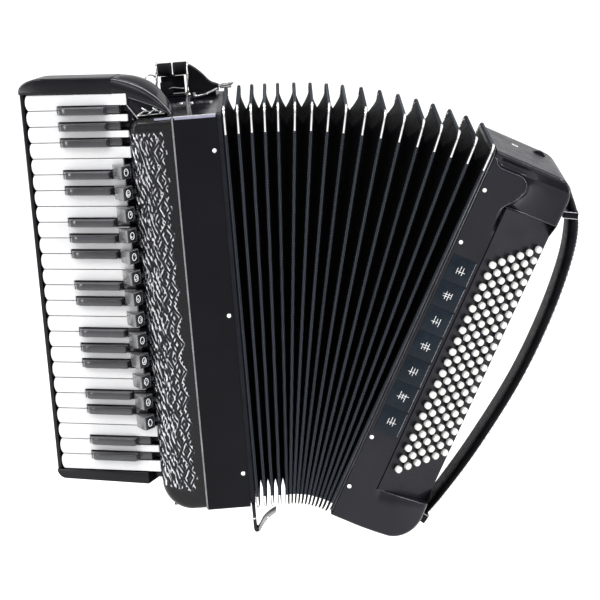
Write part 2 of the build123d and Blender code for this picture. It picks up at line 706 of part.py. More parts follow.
with BuildPart() as strap_adjuster:
    with BuildSketch(Plane.XZ.offset(-WHEEL_Y - WHEEL_T / 2)):
        with Locations((WHEEL_X, WHEEL_Z)):
            Circle(WHEEL_R)
            Circle(WHEEL_BORE_R, mode=Mode.SUBTRACT)
    extrude(amount=WHEEL_T)
save(strap_adjuster.part, "strap_adjuster", bass_place)

with BuildPart() as air_button:
    with BuildSketch(Plane.YZ.offset(BASS_W - 12)):
        with Locations((AIR_BUTTON_Y, AIR_BUTTON_Z)):
            Circle(AIR_STEM_R)
    extrude(amount=18)
    with BuildSketch(Plane.YZ.offset(BASS_W + AIR_STROKE)):
        with Locations((AIR_BUTTON_Y, AIR_BUTTON_Z)):
            Circle(AIR_CAP_R)
    extrude(amount=AIR_CAP_T)
save(air_button.part, "air_button", bass_place)
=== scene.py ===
import bmesh
import bpy
import json
from math import asin, copysign, cos, exp, hypot, pi, radians, sin, sqrt, tan
from mathutils import Matrix, Vector


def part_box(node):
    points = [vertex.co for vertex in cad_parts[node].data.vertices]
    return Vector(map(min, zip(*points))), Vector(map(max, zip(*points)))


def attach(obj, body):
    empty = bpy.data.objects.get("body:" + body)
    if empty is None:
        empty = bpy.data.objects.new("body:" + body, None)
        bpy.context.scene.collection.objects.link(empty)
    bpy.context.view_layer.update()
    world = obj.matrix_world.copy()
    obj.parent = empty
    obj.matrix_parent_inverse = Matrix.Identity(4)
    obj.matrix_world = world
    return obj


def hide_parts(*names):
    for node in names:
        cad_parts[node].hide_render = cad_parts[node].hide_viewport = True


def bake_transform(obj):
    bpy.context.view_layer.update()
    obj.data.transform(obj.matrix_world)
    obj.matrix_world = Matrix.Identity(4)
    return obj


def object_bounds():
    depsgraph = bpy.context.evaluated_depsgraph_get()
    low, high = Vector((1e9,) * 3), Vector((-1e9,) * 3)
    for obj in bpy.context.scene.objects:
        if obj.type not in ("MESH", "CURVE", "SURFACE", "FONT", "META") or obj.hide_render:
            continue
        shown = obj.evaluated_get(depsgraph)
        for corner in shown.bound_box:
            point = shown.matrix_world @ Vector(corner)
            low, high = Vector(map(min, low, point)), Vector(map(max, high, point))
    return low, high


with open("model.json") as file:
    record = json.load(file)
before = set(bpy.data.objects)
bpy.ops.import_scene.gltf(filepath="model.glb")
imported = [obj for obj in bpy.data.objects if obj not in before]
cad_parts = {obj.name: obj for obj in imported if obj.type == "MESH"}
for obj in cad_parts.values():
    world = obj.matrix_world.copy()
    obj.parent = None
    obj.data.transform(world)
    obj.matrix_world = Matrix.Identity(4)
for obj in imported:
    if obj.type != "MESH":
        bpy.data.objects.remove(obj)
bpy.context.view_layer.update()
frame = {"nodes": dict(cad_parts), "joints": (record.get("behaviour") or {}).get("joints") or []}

MM = 0.001
X_AXIS = Vector((1, 0, 0))

# ------------------------------------------------------------ where things are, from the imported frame
case_low, case_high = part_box("treble_case")
joints = {joint["name"]: joint for joint in frame["joints"]}
TREBLE = Matrix.Translation((case_high.x, 0, case_low.z))


def turn(point, degrees):
    return (
        Matrix.Translation(point)
        @ Matrix.Rotation(radians(degrees), 4, "Y")
        @ Matrix.Translation([-value for value in point])
    )


stations = [TREBLE]
fan_pivots = []
fan_angles = []
for number in (1, 2, 3, 4):
    joint = joints[f"bellows_fan_{number}"]
    fan_pivots.append(joint["pos_m"])
    fan_angles.append(-joint["range_deg"][0])
    stations.append(turn(fan_pivots[-1], fan_angles[-1]) @ stations[-1])
BASS_X = 100.5
BASS = stations[4] @ Matrix.Translation((BASS_X * MM, 0, 0))
BODIES = ("treble", "bellows_ring_1", "bellows_ring_2", "bellows_ring_3", "bass")


# ------------------------------------------------------------ materials
SOCKETS = {"metallic": "Metallic", "coat": "Coat Weight", "coat_rough": "Coat Roughness",
           "specular": "Specular IOR Level"}
NOISE_ENDS = (0.3, 0.75)
EVEN = (1, 1, 1)


def ramp(tree, source, stops):
    """A colour ramp; a stop's value is a colour or, for a grey, one number."""
    node = tree.nodes.new("ShaderNodeValToRGB")
    while len(node.color_ramp.elements) < len(stops):
        node.color_ramp.elements.new(0.5)
    for element, (place, value) in zip(node.color_ramp.elements, stops):
        element.position = place
        element.color = (*value, 1) if isinstance(value, tuple) else (value, value, value, 1)
    tree.links.new(source, node.inputs["Fac"])
    return node.outputs["Color"]


class Look:
    """A material in the making: its node tree and its shader."""

    def __init__(self, name, **values):
        self.material = bpy.data.materials.new(name)
        self.material.use_nodes = True
        self.tree = self.material.node_tree
        self.shader = self.tree.nodes["Principled BSDF"]
        for key, value in values.items():
            self.shader.inputs[SOCKETS[key]].default_value = value

    def node(self, kind, vector=None, **values):
        """A new node with its inputs set, fed with object coordinates if vector gives their scale."""
        node = self.tree.nodes.new(kind)
        for key, value in values.items():
            node.inputs[key.replace("_", " ")].default_value = value
        if vector:
            place = self.tree.nodes.new("ShaderNodeTexCoord")
            mapping = self.tree.nodes.new("ShaderNodeMapping")
            mapping.inputs["Scale"].default_value = vector
            self.tree.links.new(place.outputs["Object"], mapping.inputs["Vector"])
            self.tree.links.new(mapping.outputs["Vector"], node.inputs["Vector"])
        return node

    def noise(self, scale, detail=4.0, stretch=EVEN, roughness=0.55):
        return self.node("ShaderNodeTexNoise", stretch, Scale=scale, Detail=detail,
                         Roughness=roughness).outputs["Fac"]

    def vary(self, socket, source, low, high, ends=NOISE_ENDS):
        """Runs a socket of the shader from low to high while the source goes from end to end."""
        self.tree.links.new(ramp(self.tree, source, list(zip(ends, (low, high)))),
                            self.shader.inputs[socket])

    def bump(self, height, strength, distance):
        node = self.node("ShaderNodeBump", Strength=strength, Distance=distance)
        self.tree.links.new(height, node.inputs["Height"])
        self.tree.links.new(node.outputs["Normal"], self.shader.inputs["Normal"])


def surface(name, dark, light, rough, metallic=0.0, grain=900, wear=28, lift=0.05, coat=0.0, stretch=EVEN,
            specular=0.5):
    """A material whose colour and roughness vary over the surface, with a fine bump."""
    look = Look(name, metallic=metallic, coat=coat, coat_rough=0.04, specular=specular)
    look.vary("Base Color", look.noise(wear, 5.0, stretch), dark, light, (0.3, 0.72))
    look.vary("Roughness", look.noise(wear * 3.1, 6.0, stretch), *rough)
    look.bump(look.noise(grain, 3.0, stretch), lift, 0.0004)
    return look.material


def leather(name, dark, light):
    """Leather with a raised grain of small cells."""
    look = Look(name, specular=0.025)
    cells = look.node("ShaderNodeTexVoronoi", EVEN, Scale=620)
    cells.feature = "DISTANCE_TO_EDGE"
    look.vary("Base Color", look.noise(45, 6.0), dark, light)
    look.vary("Roughness", look.noise(160), 0.3, 0.5)
    look.bump(ramp(look.tree, cells.outputs["Distance"], [(0.0, 0.0), (0.22, 1.0)]), 0.45, 0.0006)
    return look.material


def cloth(name, dark, light, pitch, rough=(0.6, 0.85), lift=0.5):
    """Woven cloth: two crossed waves for the threads."""
    look = Look(name, specular=0.06)
    both = look.node("ShaderNodeMath")
    both.operation = "MULTIPLY"
    for number, direction in enumerate("XZ"):
        wave = look.node("ShaderNodeTexWave", EVEN, Scale=0.31 / pitch, Distortion=1.2, Detail_Scale=3.0)
        wave.bands_direction = direction
        look.tree.links.new(wave.outputs["Fac"], both.inputs[number])
    look.vary("Base Color", both.outputs[0], dark, light, (0.1, 0.7))
    look.vary("Roughness", look.noise(90), *rough)
    look.bump(both.outputs[0], lift, 0.0003)
    return look.material


def relief_with_painted_glints(name):
    """Embossed black pattern, its raised parts painted silvery as painted glints of light and the ground
    black, read from the mesh's own height.
    """
    look = Look(name, coat=0.06, coat_rough=0.06, specular=0.2)
    height = look.node("ShaderNodeAttribute")
    height.attribute_name = "relief"
    # Colour by height: the raised parts are painted silver, a painted highlight for light glinting on the
    # black embossing.
    colour = ramp(look.tree, height.outputs["Fac"],
                  [(0.3, (0.003, 0.003, 0.004)), (0.6, (0.04, 0.04, 0.045)),
                                                    (0.9, (0.62, 0.63, 0.66))])
    # Noise dims the painted glints in random patches.
    patchy_glints_and_wear = look.node("ShaderNodeMixRGB")
    patchy_glints_and_wear.blend_type = "MULTIPLY"
    patchy_glints_and_wear.inputs[0].default_value = 0.55
    look.tree.links.new(colour, patchy_glints_and_wear.inputs[1])
    look.tree.links.new(ramp(look.tree, look.noise(260, 5.0), [(0.35, 0.25), (0.6, 1.0)]), patchy_glints_and_wear.inputs[2])
    look.tree.links.new(patchy_glints_and_wear.outputs[0], look.shader.inputs["Base Color"])
    look.vary("Metallic", height.outputs["Fac"], 0.0, 0.85, (0.2, 0.8))
    look.vary("Roughness", look.noise(400, 4.0), 0.16, 0.34, (0.3, 0.7))
    look.bump(look.noise(1500, 2.0), 0.08, 0.0003)
    return look.material


def wood(name, dark, light, stretch):
    """Wood with its grain along the axis that stretch makes small."""
    look = Look(name)
    look.vary("Base Color", look.noise(60, 8.0, stretch, 0.65), dark, light, (0.3, 0.7))
    look.vary("Roughness", look.noise(150), 0.4, 0.6)
    look.bump(look.noise(200, 6.0, stretch), 0.15, 0.0004)
    return look.material


LACQUER = surface("black_lacquer", (0.002, 0.002, 0.0032), (0.004, 0.004, 0.006), (0.08, 0.2), grain=60,
                  wear=9,
                  lift=0.012, specular=0.09)
GLOSS = surface("glossy_moulding", (0.003, 0.003, 0.0045), (0.006, 0.006, 0.008), (0.14, 0.26), grain=60,
                wear=9,
                lift=0.012, specular=0.16)
SATIN = surface("satin_case", (0.0075, 0.007, 0.0105), (0.0125, 0.012, 0.017), (0.26, 0.38), grain=2400,
                wear=16,
                lift=0.16, specular=0.1)
BASS_BLACK = surface("bass_front", (0.005, 0.005, 0.008), (0.009, 0.009, 0.013), (0.16, 0.26), grain=2400,
                     wear=16,
                     lift=0.05, specular=0.2)
FRAME_BLACK = surface("satin_frame", (0.004, 0.0045, 0.007), (0.009, 0.01, 0.014), (0.26, 0.44), wear=40,
                      specular=0.1)
# Grille material with painted silver glints on its raised parts.
RELIEF_PAINTED_GLINTS = relief_with_painted_glints("embossed_relief_painted_glints")
# Grey metallic lines laid along edges: painted highlight for the light those edges catch.
EDGE_HIGHLIGHT_LINE = surface("painted_edge_highlight", (0.05, 0.05, 0.058), (0.13, 0.13, 0.145), (0.2, 0.34), metallic=0.6,
                     wear=60)
# Grey metal bar for the seam strip of the treble end, also laid along the moulding's ledge as a painted
# highlight.
EDGE_BAR_AND_HIGHLIGHT = surface("edge_bar_and_painted_highlight", (0.12, 0.12, 0.13), (0.22, 0.22, 0.24), (0.25, 0.4), metallic=0.4, wear=40)
KEY_WHITE = surface("key_white", (0.5, 0.5, 0.51), (0.57, 0.57, 0.575), (0.1, 0.2), grain=150, wear=12,
                    lift=0.02,
                    coat=0.4)
KEY_BLACK = surface("key_black", (0.012, 0.012, 0.015), (0.028, 0.028, 0.033), (0.14, 0.28), grain=500,
                    wear=30,
                    stretch=(0.3, 1, 1), coat=0.15)
BLOCK_WOOD = wood("reed_block_wood", (0.5, 0.34, 0.19), (0.7, 0.52, 0.32), (1, 1, 0.12))
FELT = cloth("red_felt", (0.2, 0.015, 0.02), (0.34, 0.03, 0.04), 0.0006)
STEEL = surface("ground_steel", (0.42, 0.42, 0.44), (0.6, 0.6, 0.62), (0.22, 0.4), metallic=1.0, wear=120,
                stretch=(1, 1, 0.1))
CHROME = surface("chrome", (0.06, 0.06, 0.065), (0.7, 0.7, 0.7), (0.06, 0.2), metallic=1.0, grain=200,
                 wear=110,
                 lift=0.02)
SILVER = surface("corner_nickel", (0.78, 0.78, 0.77), (0.93, 0.92, 0.9), (0.12, 0.28), metallic=1.0,
                 grain=700,
                 wear=90)
TRIM = surface("silver_trim", (0.34, 0.34, 0.36), (0.55, 0.55, 0.58), (0.2, 0.34), metallic=1.0, wear=70)
# Light band for the top edge of the treble panel: painted highlight of that edge.
TOP_EDGE_HIGHLIGHT_BAND = surface("top_edge_painted_highlight", (0.16, 0.16, 0.22), (0.24, 0.24, 0.32), (0.3, 0.45), wear=40)
TAB_GREY = surface("register_grey", (0.1, 0.1, 0.105), (0.17, 0.17, 0.175), (0.16, 0.3), grain=700, wear=50,
                   metallic=0.25, coat=0.35)
TAB_BLACK = surface("register_black", (0.004, 0.0045, 0.006), (0.009, 0.01, 0.013), (0.18, 0.32), grain=900,
                    wear=60,
                    specular=0.2)
MARK = surface("register_marks", (0.62, 0.62, 0.63), (0.85, 0.85, 0.85), (0.3, 0.45), wear=300)
LEATHER = leather("black_leather", (0.003, 0.003, 0.004), (0.008, 0.008, 0.0095))
# Darker copy of the strap leather: painted shade for the hanging stretch of the bellows strap.
CLOSING_STRAP_SHADE = leather("closing_strap_painted_shade", (0.012, 0.012, 0.014), (0.03, 0.03, 0.033))
THREAD = cloth("stitching", (0.012, 0.012, 0.014), (0.05, 0.05, 0.052), 0.0004)
CARD = cloth("bellows_cloth", (0.0015, 0.0015, 0.002), (0.005, 0.005, 0.0065), 0.0011, (0.5, 0.75))
TAPE = cloth("bellows_tape", (0.008, 0.01, 0.013), (0.05, 0.056, 0.07), 0.0019)
GREY_STRAP = leather("grey_strap", (0.2, 0.2, 0.205), (0.34, 0.34, 0.345))
BOARD = surface("button_board", (0.006, 0.006, 0.0085), (0.012, 0.012, 0.016), (0.2, 0.34), grain=500,
                wear=24,
                specular=0.14)
BUTTON = surface("button_white", (0.5, 0.5, 0.48), (0.62, 0.62, 0.6), (0.14, 0.26), grain=300, wear=60,
                 coat=0.4)
PLATE = surface("bass_plate", (0.0035, 0.006, 0.01), (0.008, 0.012, 0.018), (0.22, 0.36), grain=1600,
                wear=45, lift=0.1,
                specular=0.12)

for node_name, material in {
    "treble_case": LACQUER, "treble_reed_blocks": BLOCK_WOOD, "key_axle": STEEL,
    "treble_bellows_frame": FRAME_BLACK, "bass_bellows_frame": FRAME_BLACK,
    "button_board": BOARD, "bass_reed_block": BLOCK_WOOD, "bass_pins_and_brackets": SILVER,
    "bellows_ring_1": CARD, "bellows_ring_2": CARD, "bellows_ring_3": CARD, "air_button": CHROME,
}.items():
    slots = frame["nodes"][node_name].data.materials
    slots.clear()
    slots.append(material)


# ------------------------------------------------------------ mesh building
def angles(count):
    """Evenly spaced angles once round."""
    return [2 * pi * k / count for k in range(count)]


class Shape:
    """Collects vertices in millimetres and faces with a material number, then makes one piece."""

    def __init__(self):
        self.points = []
        self.faces = []
        self.numbers = []

    def add(self, points, faces, number=0, place=None):
        start = len(self.points)
        for point in points:
            vector = Vector(point)
            self.points.append(place @ vector if place else vector)
        for face in faces:
            self.faces.append([start + index for index in face])
            self.numbers.append(number)

    def prism(self, outline, low, high, number=0, bevel=0.0, place=None, taper=None, segments=2):
        """Outline in X and Y, from low to high in Z, with its edges rounded off."""
        count = len(outline)
        mesh = bmesh.new()
        bottom = [mesh.verts.new((x, y, low)) for x, y in outline]
        top = [mesh.verts.new((x, y, high)) for x, y in outline]
        mesh.faces.new(bottom[::-1])
        mesh.faces.new(top)
        for index in range(count):
            after = (index + 1) % count
            mesh.faces.new((bottom[index], bottom[after], top[after], top[index]))
        bmesh.ops.recalc_face_normals(mesh, faces=mesh.faces)
        if taper:
            for vertex in mesh.verts:
                vertex.co = taper(vertex.co)
        if bevel:
            edges = [edge for edge in mesh.edges if edge.calc_face_angle(0) > 0.5]
            bmesh.ops.bevel(mesh, geom=edges, offset=bevel, segments=segments, affect="EDGES", profile=0.5,
                            clamp_overlap=True)
        mesh.verts.index_update()
        self.add([v.co.copy() for v in mesh.verts], [[v.index for v in f.verts] for f in mesh.faces], number,
                 place)
        mesh.free()

    def block(self, centre, size, number=0, bevel=0.3, place=None):
        x, y, z = centre
        a, b, c = (value / 2 for value in size)
        self.prism(rectangle(x - a, y - b, x + a, y + b), z - c, z + c, number, bevel, place)

    def loft(self, rings, number=0, closed=True, caps=True, place=None):
        """Faces between rings of points; closed joins each ring's last point to its first."""
        size = len(rings[0])
        faces = []
        for row in range(len(rings) - 1):
            for index in range(size if closed else size - 1):
                after = (index + 1) % size
                faces.append((row * size + index, row * size + after, (row + 1) * size + after,
                              (row + 1) * size + index))
        if caps and closed:
            faces.append(list(range(size))[::-1])
            faces.append([(len(rings) - 1) * size + index for index in range(size)])
        self.add([point for ring in rings for point in ring], faces, number, place)

    def tube(self, path, radius, number=0, sides=8, closed=False, place=None):
        path = [Vector(point) for point in path]
        rings = []
        count = len(path)
        normal = None
        for index, point in enumerate(path):
            if closed:
                ahead = (path[(index + 1) % count] - path[index - 1]).normalized()
            else:
                ahead = (path[min(index + 1, count - 1)] - path[max(index - 1, 0)]).normalized()
            if normal is None:
                side = Vector((0, 0, 1)) if abs(ahead.z) < 0.9 else Vector((1, 0, 0))
                normal = ahead.cross(side).normalized()
            normal = (normal - ahead * normal.dot(ahead)).normalized()
            other = ahead.cross(normal)
            size = radius(index / (count - 1)) if callable(radius) else radius
            rings.append([point + size * (cos(a) * normal + sin(a) * other)
                          for a in angles(sides)])
        if closed:
            rings.append(rings[0])
        self.loft(rings, number, True, not closed, place)

    def turned(self, profile, number=0, sides=24, place=None):
        """A profile of (radius, height) turned about Z."""
        rings = [[(radius * cos(a), radius * sin(a), height) for a in angles(sides)]
                 for radius, height in profile]
        self.loft(rings, number, True, True, place)

    def make(self, name, materials, body=None, place=TREBLE, sharp=38):
        mesh = bpy.data.meshes.new(name)
        mesh.from_pydata([place @ (point * MM) for point in self.points], [], self.faces)
        for material in materials:
            mesh.materials.append(material)
        mesh.polygons.foreach_set("material_index", self.numbers)
        work = bmesh.new()
        work.from_mesh(mesh)
        bmesh.ops.recalc_face_normals(work, faces=work.faces)
        work.to_mesh(mesh)
        work.free()
        mesh.shade_smooth()
        mesh.set_sharp_from_angle(angle=radians(sharp))
        piece = bpy.data.objects.new(name, mesh)
        bpy.context.scene.collection.objects.link(piece)
        if body:
            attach(piece, body)
        return piece


def axes(origin, x_axis, y_axis, z_axis):
    """A placement whose X, Y and Z run along the three given directions."""
    matrix = Matrix.Identity(4)
    for column, direction in enumerate((x_axis, y_axis, z_axis)):
        matrix.col[column] = (*Vector(direction).normalized(), 0)
    matrix.col[3] = (*origin, 1)
    return matrix


def rectangle(left, low, right, high):
    return [(left, low), (right, low), (right, high), (left, high)]


def facing_front(x, y, z):
    """A placement at a point with X to the right, Y upwards and Z out of the instrument's front."""
    return axes((x, y, z), (1, 0, 0), (0, 0, 1), (0, -1, 0))


FRONT = facing_front(0, 0, 0)


def spread(start, end, count):
    """Evenly spaced values from start to end."""
    return [start + (end - start) * k / count for k in range(count + 1)]


def arc(centre, radius, start, end, count):
    """Points of an arc in a plane, angles in degrees."""
    return [(centre[0] + radius * cos(radians(angle)),
             centre[1] + radius * sin(radians(angle)))
            for angle in spread(start, end, count)]


def drawn_in(z, low, high, low_radius, high_radius):
    """How far an upright edge with rounded corners is drawn in at a height."""
    if z < low + low_radius:
        return low_radius - sqrt(max(0.0, low_radius ** 2 - (low + low_radius - z) ** 2))
    if z > high - high_radius:
        return high_radius - sqrt(max(0.0, high_radius ** 2 - (z - high + high_radius) ** 2))
    return 0.0


def depth_inside(x, z, low, high, low_radius, high_radius):
    """Distance in from that edge or from its ends; x is measured in from its straight stretch."""
    inside = min(x, z - low, high - z)
    if x < low_radius and z < low + low_radius:
        inside = low_radius - hypot(low_radius - x, low + low_radius - z)
    if x < high_radius and z > high - high_radius:
        inside = high_radius - hypot(high_radius - x, z - high + high_radius)
    return max(0.0, inside)


def rounding(inside, radius):
    """How far a rounded edge has fallen at a distance inside it."""
    return radius - sqrt(max(0.0, radius ** 2 - max(0.0, radius - inside) ** 2))


def clamp(value):
    return max(0.0, min(1.0, value))


def curve_through(points, count):
    """A smooth curve through points, sampled evenly."""
    points = [Vector(point) for point in points]
    padded = [2 * points[0] - points[1], *points, 2 * points[-1] - points[-2]]
    out = []
    for k in range(count + 1):
        t = k / count * (len(points) - 1)
        i = min(int(t), len(points) - 2)
        f = t - i
        a, b, c, d = padded[i:i + 4]
        out.append(0.5 * ((2 * b) + (c - a) * f + (2 * a - 5 * b + 4 * c - d) * f * f
                          + (3 * b - a - 3 * c + d) * f ** 3))
    return out


def side_curve(points, count):
    """The same through (x, z) points in the plane of Y = 0."""
    return curve_through([(x, 0, z) for x, z in points], count)


def bend(start, handle, end, count=40):
    """A curve from start to end that leaves and arrives in the direction of its handle."""
    start, handle, end = Vector(start), Vector(handle), Vector(end)
    return [start.lerp(handle, k / count).lerp(handle.lerp(end, k / count),
                                               k / count) for k in range(count + 1)]


# ------------------------------------------------------------ keys
KEY_SLOPE = radians(23)
KEY_START = (-237.0, -33.5)
KEY_BOTTOM = 52.0
PITCH = 20.0
KEY_HALF = PITCH / 2 - 0.42
KEY_BOW = 3.2
KEY_END = 128
END_KEYS_END = 139
FRONT_END = 6
NOTCH_START = 43.6
NOTCH = 5.4
SHARP_HALF = 4.8
SHARP_TAPER = 0.13
KEY_CAP = 3.4
KEY_BODY = 11
SHARP_FRONT = 46
SHARP_BACK = 112
SHARP_RISE = 11.5
ARM_X = -112
PALLET_X = -68
PALLET_DROP = 32
PALLET_SIDE = 7.6
WHITES = 24
NOTES = ("f", "g", "a", "b", "c", "d", "e")
SHARPS = ("f", "g", "a", "c", "d")
KEYS = axes((KEY_START[0], KEY_START[1], 0), (cos(KEY_SLOPE), -sin(KEY_SLOPE), 0), (0, 0, 1),
            (-sin(KEY_SLOPE), -cos(KEY_SLOPE), 0))
# In KEYS, X runs up the slope from the free end, Y up the keyboard and Z out of the playing surface.
key_centres = [KEY_BOTTOM + PITCH * (WHITES - white - 0.5) for white in range(WHITES)]
sharp_after = [white for white in range(WHITES - 1) if NOTES[white % 7] in SHARPS]


def lever(shape, z):
    """Shank on the axle, arm and padded pallet behind one key."""
    low = z - PALLET_DROP
    shape.prism(rectangle(126.5, z - 2.8, 143, z + 2.8), -14, -9, 2, 0.4, KEYS)
    arm = [(ARM_X, z - 1.7), (PALLET_X, low - 1.7), (PALLET_X, low + 1.7), (ARM_X, z + 1.7)]
    shape.prism(arm, 70.2, 77.6, 3, 0.3, FRONT)
    shape.block((PALLET_X, -66.4, low), (PALLET_SIDE, 7.4, PALLET_SIDE), 2, 0.4)
    shape.block((PALLET_X, -62.9, low), (PALLET_SIDE, 0.6, PALLET_SIDE), 4, 0.1)


for note in NOTES:
    shape = Shape()
    for white in range(WHITES):
        if NOTES[white % 7] != note:
            continue
        z = key_centres[white]
        low, high = z - KEY_HALF, z + KEY_HALF
        end = END_KEYS_END if white < 4 or white > 20 else KEY_END
        outline = [(KEY_BOW * abs(k / 5) ** 2.6, z - KEY_HALF * k / 5) for k in range(-5, 6)]
        outline.append((FRONT_END, low))
        if white in sharp_after:
            outline += [(NOTCH_START, low), (NOTCH_START, low + NOTCH), (end, low + NOTCH)]
        else:
            outline.append((end, low))
        if white - 1 in sharp_after:
            outline += [(end, high - NOTCH), (NOTCH_START, high - NOTCH), (NOTCH_START, high)]
        else:
            outline.append((end, high))
        outline.append((FRONT_END, high))
        shape.prism(outline, -KEY_CAP, 0, 0, 0.75, KEYS, segments=3)
        inner = [(x + (0.8 if x < 10 else 0), z + (value - z) * 0.94) for x, value in outline]
        shape.prism(inner, -KEY_BODY, -3.3, 1, 0.3, KEYS)
        lever(shape, z)
    piece = shape.make(f"white_keys_{note}_caps", [KEY_WHITE, SATIN, SATIN, SATIN, FELT],
                       f"white_keys_{note}")
    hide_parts(f"white_keys_{note}")

for note in SHARPS:
    shape = Shape()
    for white in sharp_after:
        if NOTES[white % 7] != note:
            continue
        z = key_centres[white] - PITCH / 2
        profile = [(SHARP_FRONT, 10), (SHARP_FRONT, -2.5), (51.5, -9.2), (57, -11.2), (62, -SHARP_RISE),
                   (110.5, -SHARP_RISE), (SHARP_BACK, -10.2), (SHARP_BACK, 1), (KEY_END, 1), (KEY_END, 10)]
        side = axes((0, 0, 0), (1, 0, 0), (0, 0, -1), (0, 1, 0))

        def narrow(point, z=z):
            return Vector((point.x, point.y,
                           z + (point.z - z) * (1 - SHARP_TAPER * clamp((-point.y - 1) / 10.5))))

        shape.prism(profile, z - SHARP_HALF, z + SHARP_HALF, 0, 0.9, KEYS @ side, narrow, 3)
        lever(shape, z)
    piece = shape.make(f"black_keys_{note}_sharp_caps", [KEY_BLACK, SATIN, SATIN, SATIN, FELT],
                       f"black_keys_{note}_sharp")
    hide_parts(f"black_keys_{note}_sharp")

# ------------------------------------------------------------ keyboard case, with its caps and moulding
GRILLE_LEFT = -108.5
GRILLE_RIGHT = -54.4
GRILLE_LOW = 2.0
GRILLE_HIGH = 500.0
LOW_R = 37.0
HIGH_R = 14.0
GRILLE_BACK = -74.0
CELL = 34.4
DIAMOND_X = -73.5
DIAMOND_HALF = 9.5
FLECKS_END = -88
RELIEF_RIGHT = -66.5
RELIEF_LOW = 26
RELIEF_HIGH = 487
RIM_OUT = -7.5
BED = -20.0
BED_BACK = -28.0
CASE_LOW_Z = 36.0
CASE_HIGH_Z = 552.4
shape = Shape()
shape.prism(rectangle(RIM_OUT, -1.5, -2.2, BED), -CASE_HIGH_Z + 12, -CASE_LOW_Z - 12, 0, 1.2, KEYS @ FRONT,
            segments=3)
bed = [(RIM_OUT, BED), (140, BED), (140, BED_BACK), (-1, BED_BACK)]
shape.prism(bed, -CASE_HIGH_Z + 8, -CASE_LOW_Z - 4, 0, 1.0, KEYS @ FRONT)
CAP_EDGE = -7.4
CAP_END = 122.0
CAP_BASE = 532.6
CAP_CORNER_W = 33.0
CAP_CORNER_H = 16.0
LOW_CAP_TOP = 51.4
LOW_CAP_R = 12.4
quarter = spread(0, pi / 2, 10)
top_cap = [(CAP_EDGE, CAP_BASE)]
top_cap += [(CAP_EDGE + CAP_CORNER_W * (1 - cos(a)), CASE_HIGH_Z + CAP_CORNER_H * (sin(a) - 1))
            for a in quarter]
top_cap += [(CAP_END, CASE_HIGH_Z), (CAP_END, CAP_BASE)]
bottom_cap = [(CAP_EDGE + LOW_CAP_R * (1 - cos(a)), LOW_CAP_TOP - LOW_CAP_R * sin(a))
              for a in quarter]
bottom_cap += [(CAP_END, CASE_LOW_Z), (CAP_END, LOW_CAP_TOP)]
for cap in (top_cap, bottom_cap):
    shape.prism(cap, BED_BACK, 2, 0, 1.6, KEYS, segments=3)
neck = [(-207.6, -15.5), (-97.3, -62.4), (-97.3, 20), (-197.6, -1.5)]
shape.prism(neck, CASE_LOW_Z, 504, 0, 2.5, segments=3)
MOULD_START = -126.0
MOULD_END = GRILLE_RIGHT - 0.6
upper = bend((MOULD_START, -70, 552), (-68, -58, 552), (MOULD_END, -66, 504))
ledge = bend((MOULD_START, -80, 550), (-76, -78, 538), (MOULD_END, -94, 503))
lower = bend((MOULD_START, -81, 533), (-70, -84, 514), (MOULD_END, -94, 502))
rings = []
for top_point, ledge_point, low_point in zip(upper, ledge, lower):
    bulge = (ledge_point + low_point) / 2 + Vector((0, -3.2, 1.0))
    shoulder = ledge_point + Vector((0, 1.6, 1.8))
    rings.append([(top_point.x, -22, top_point.z - 9), (top_point.x, -54, top_point.z), top_point, shoulder,
                  ledge_point, ledge_point.lerp(bulge, 0.55) + Vector((0, -0.8, 0)), bulge,
                  low_point.lerp(bulge, 0.5) + Vector((0, -0.9, 0)), low_point,
                  (low_point.x, -64, low_point.z)])
shape.loft(rings, 0, True, True)
# A light grey line along the moulding's ledge: painted highlight.
shape.tube([point + Vector((0, 0.2, 0.2)) for point in ledge], 0.55, 3, 6)
# A light line along the moulding's lower edge: painted highlight.
shape.tube([point + Vector((0, -0.3, 0)) for point in lower], 0.4, 1, 6)
cover = [(-122, 537), (-95, 498), (-60, 500), (-60, 508), (-92, 519)]
shape.prism(cover, 62, 80, 0, 0.5, FRONT)
shape.tube([(-119, -80, 532), (-107, -83, 515), (-95, -87, 498)], 0.6, 2, 6)
# A light line along the top cap's edge: painted highlight.
shape.tube([KEYS @ Vector((u + 0.8, z - 1.2, 2.0)) for u, z in top_cap[1:12]], 0.35, 1, 6)
keyboard = shape.make("keyboard_case", [GLOSS, EDGE_HIGHLIGHT_LINE, TRIM, EDGE_BAR_AND_HIGHLIGHT], "treble", sharp=32)
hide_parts("keyboard_body")
shape = Shape()
for index, (x, z) in enumerate(((-93, 505), (-86, 509), (-80, 506), (-73, 508.5), (-67, 505.5))):
    tilt = 2.6 * (-1) ** index
    shape.tube([(x - 4, -83.5, z - tilt), (x, -86, z), (x + 4.5, -84, z + tilt)], 1.1, 0, 10)
    shape.block((x, -84.4, z), (2.6, 3, 3.4), 0, 0.5)
shape.tube([(-98, -84.5, 502.4), (-80, -86.5, 503.2), (-63, -86.5, 503.6)], 0.9, 0, 8)
shape.make("register_levers", [CHROME], "treble")

# ------------------------------------------------------------ grille with its embossed relief


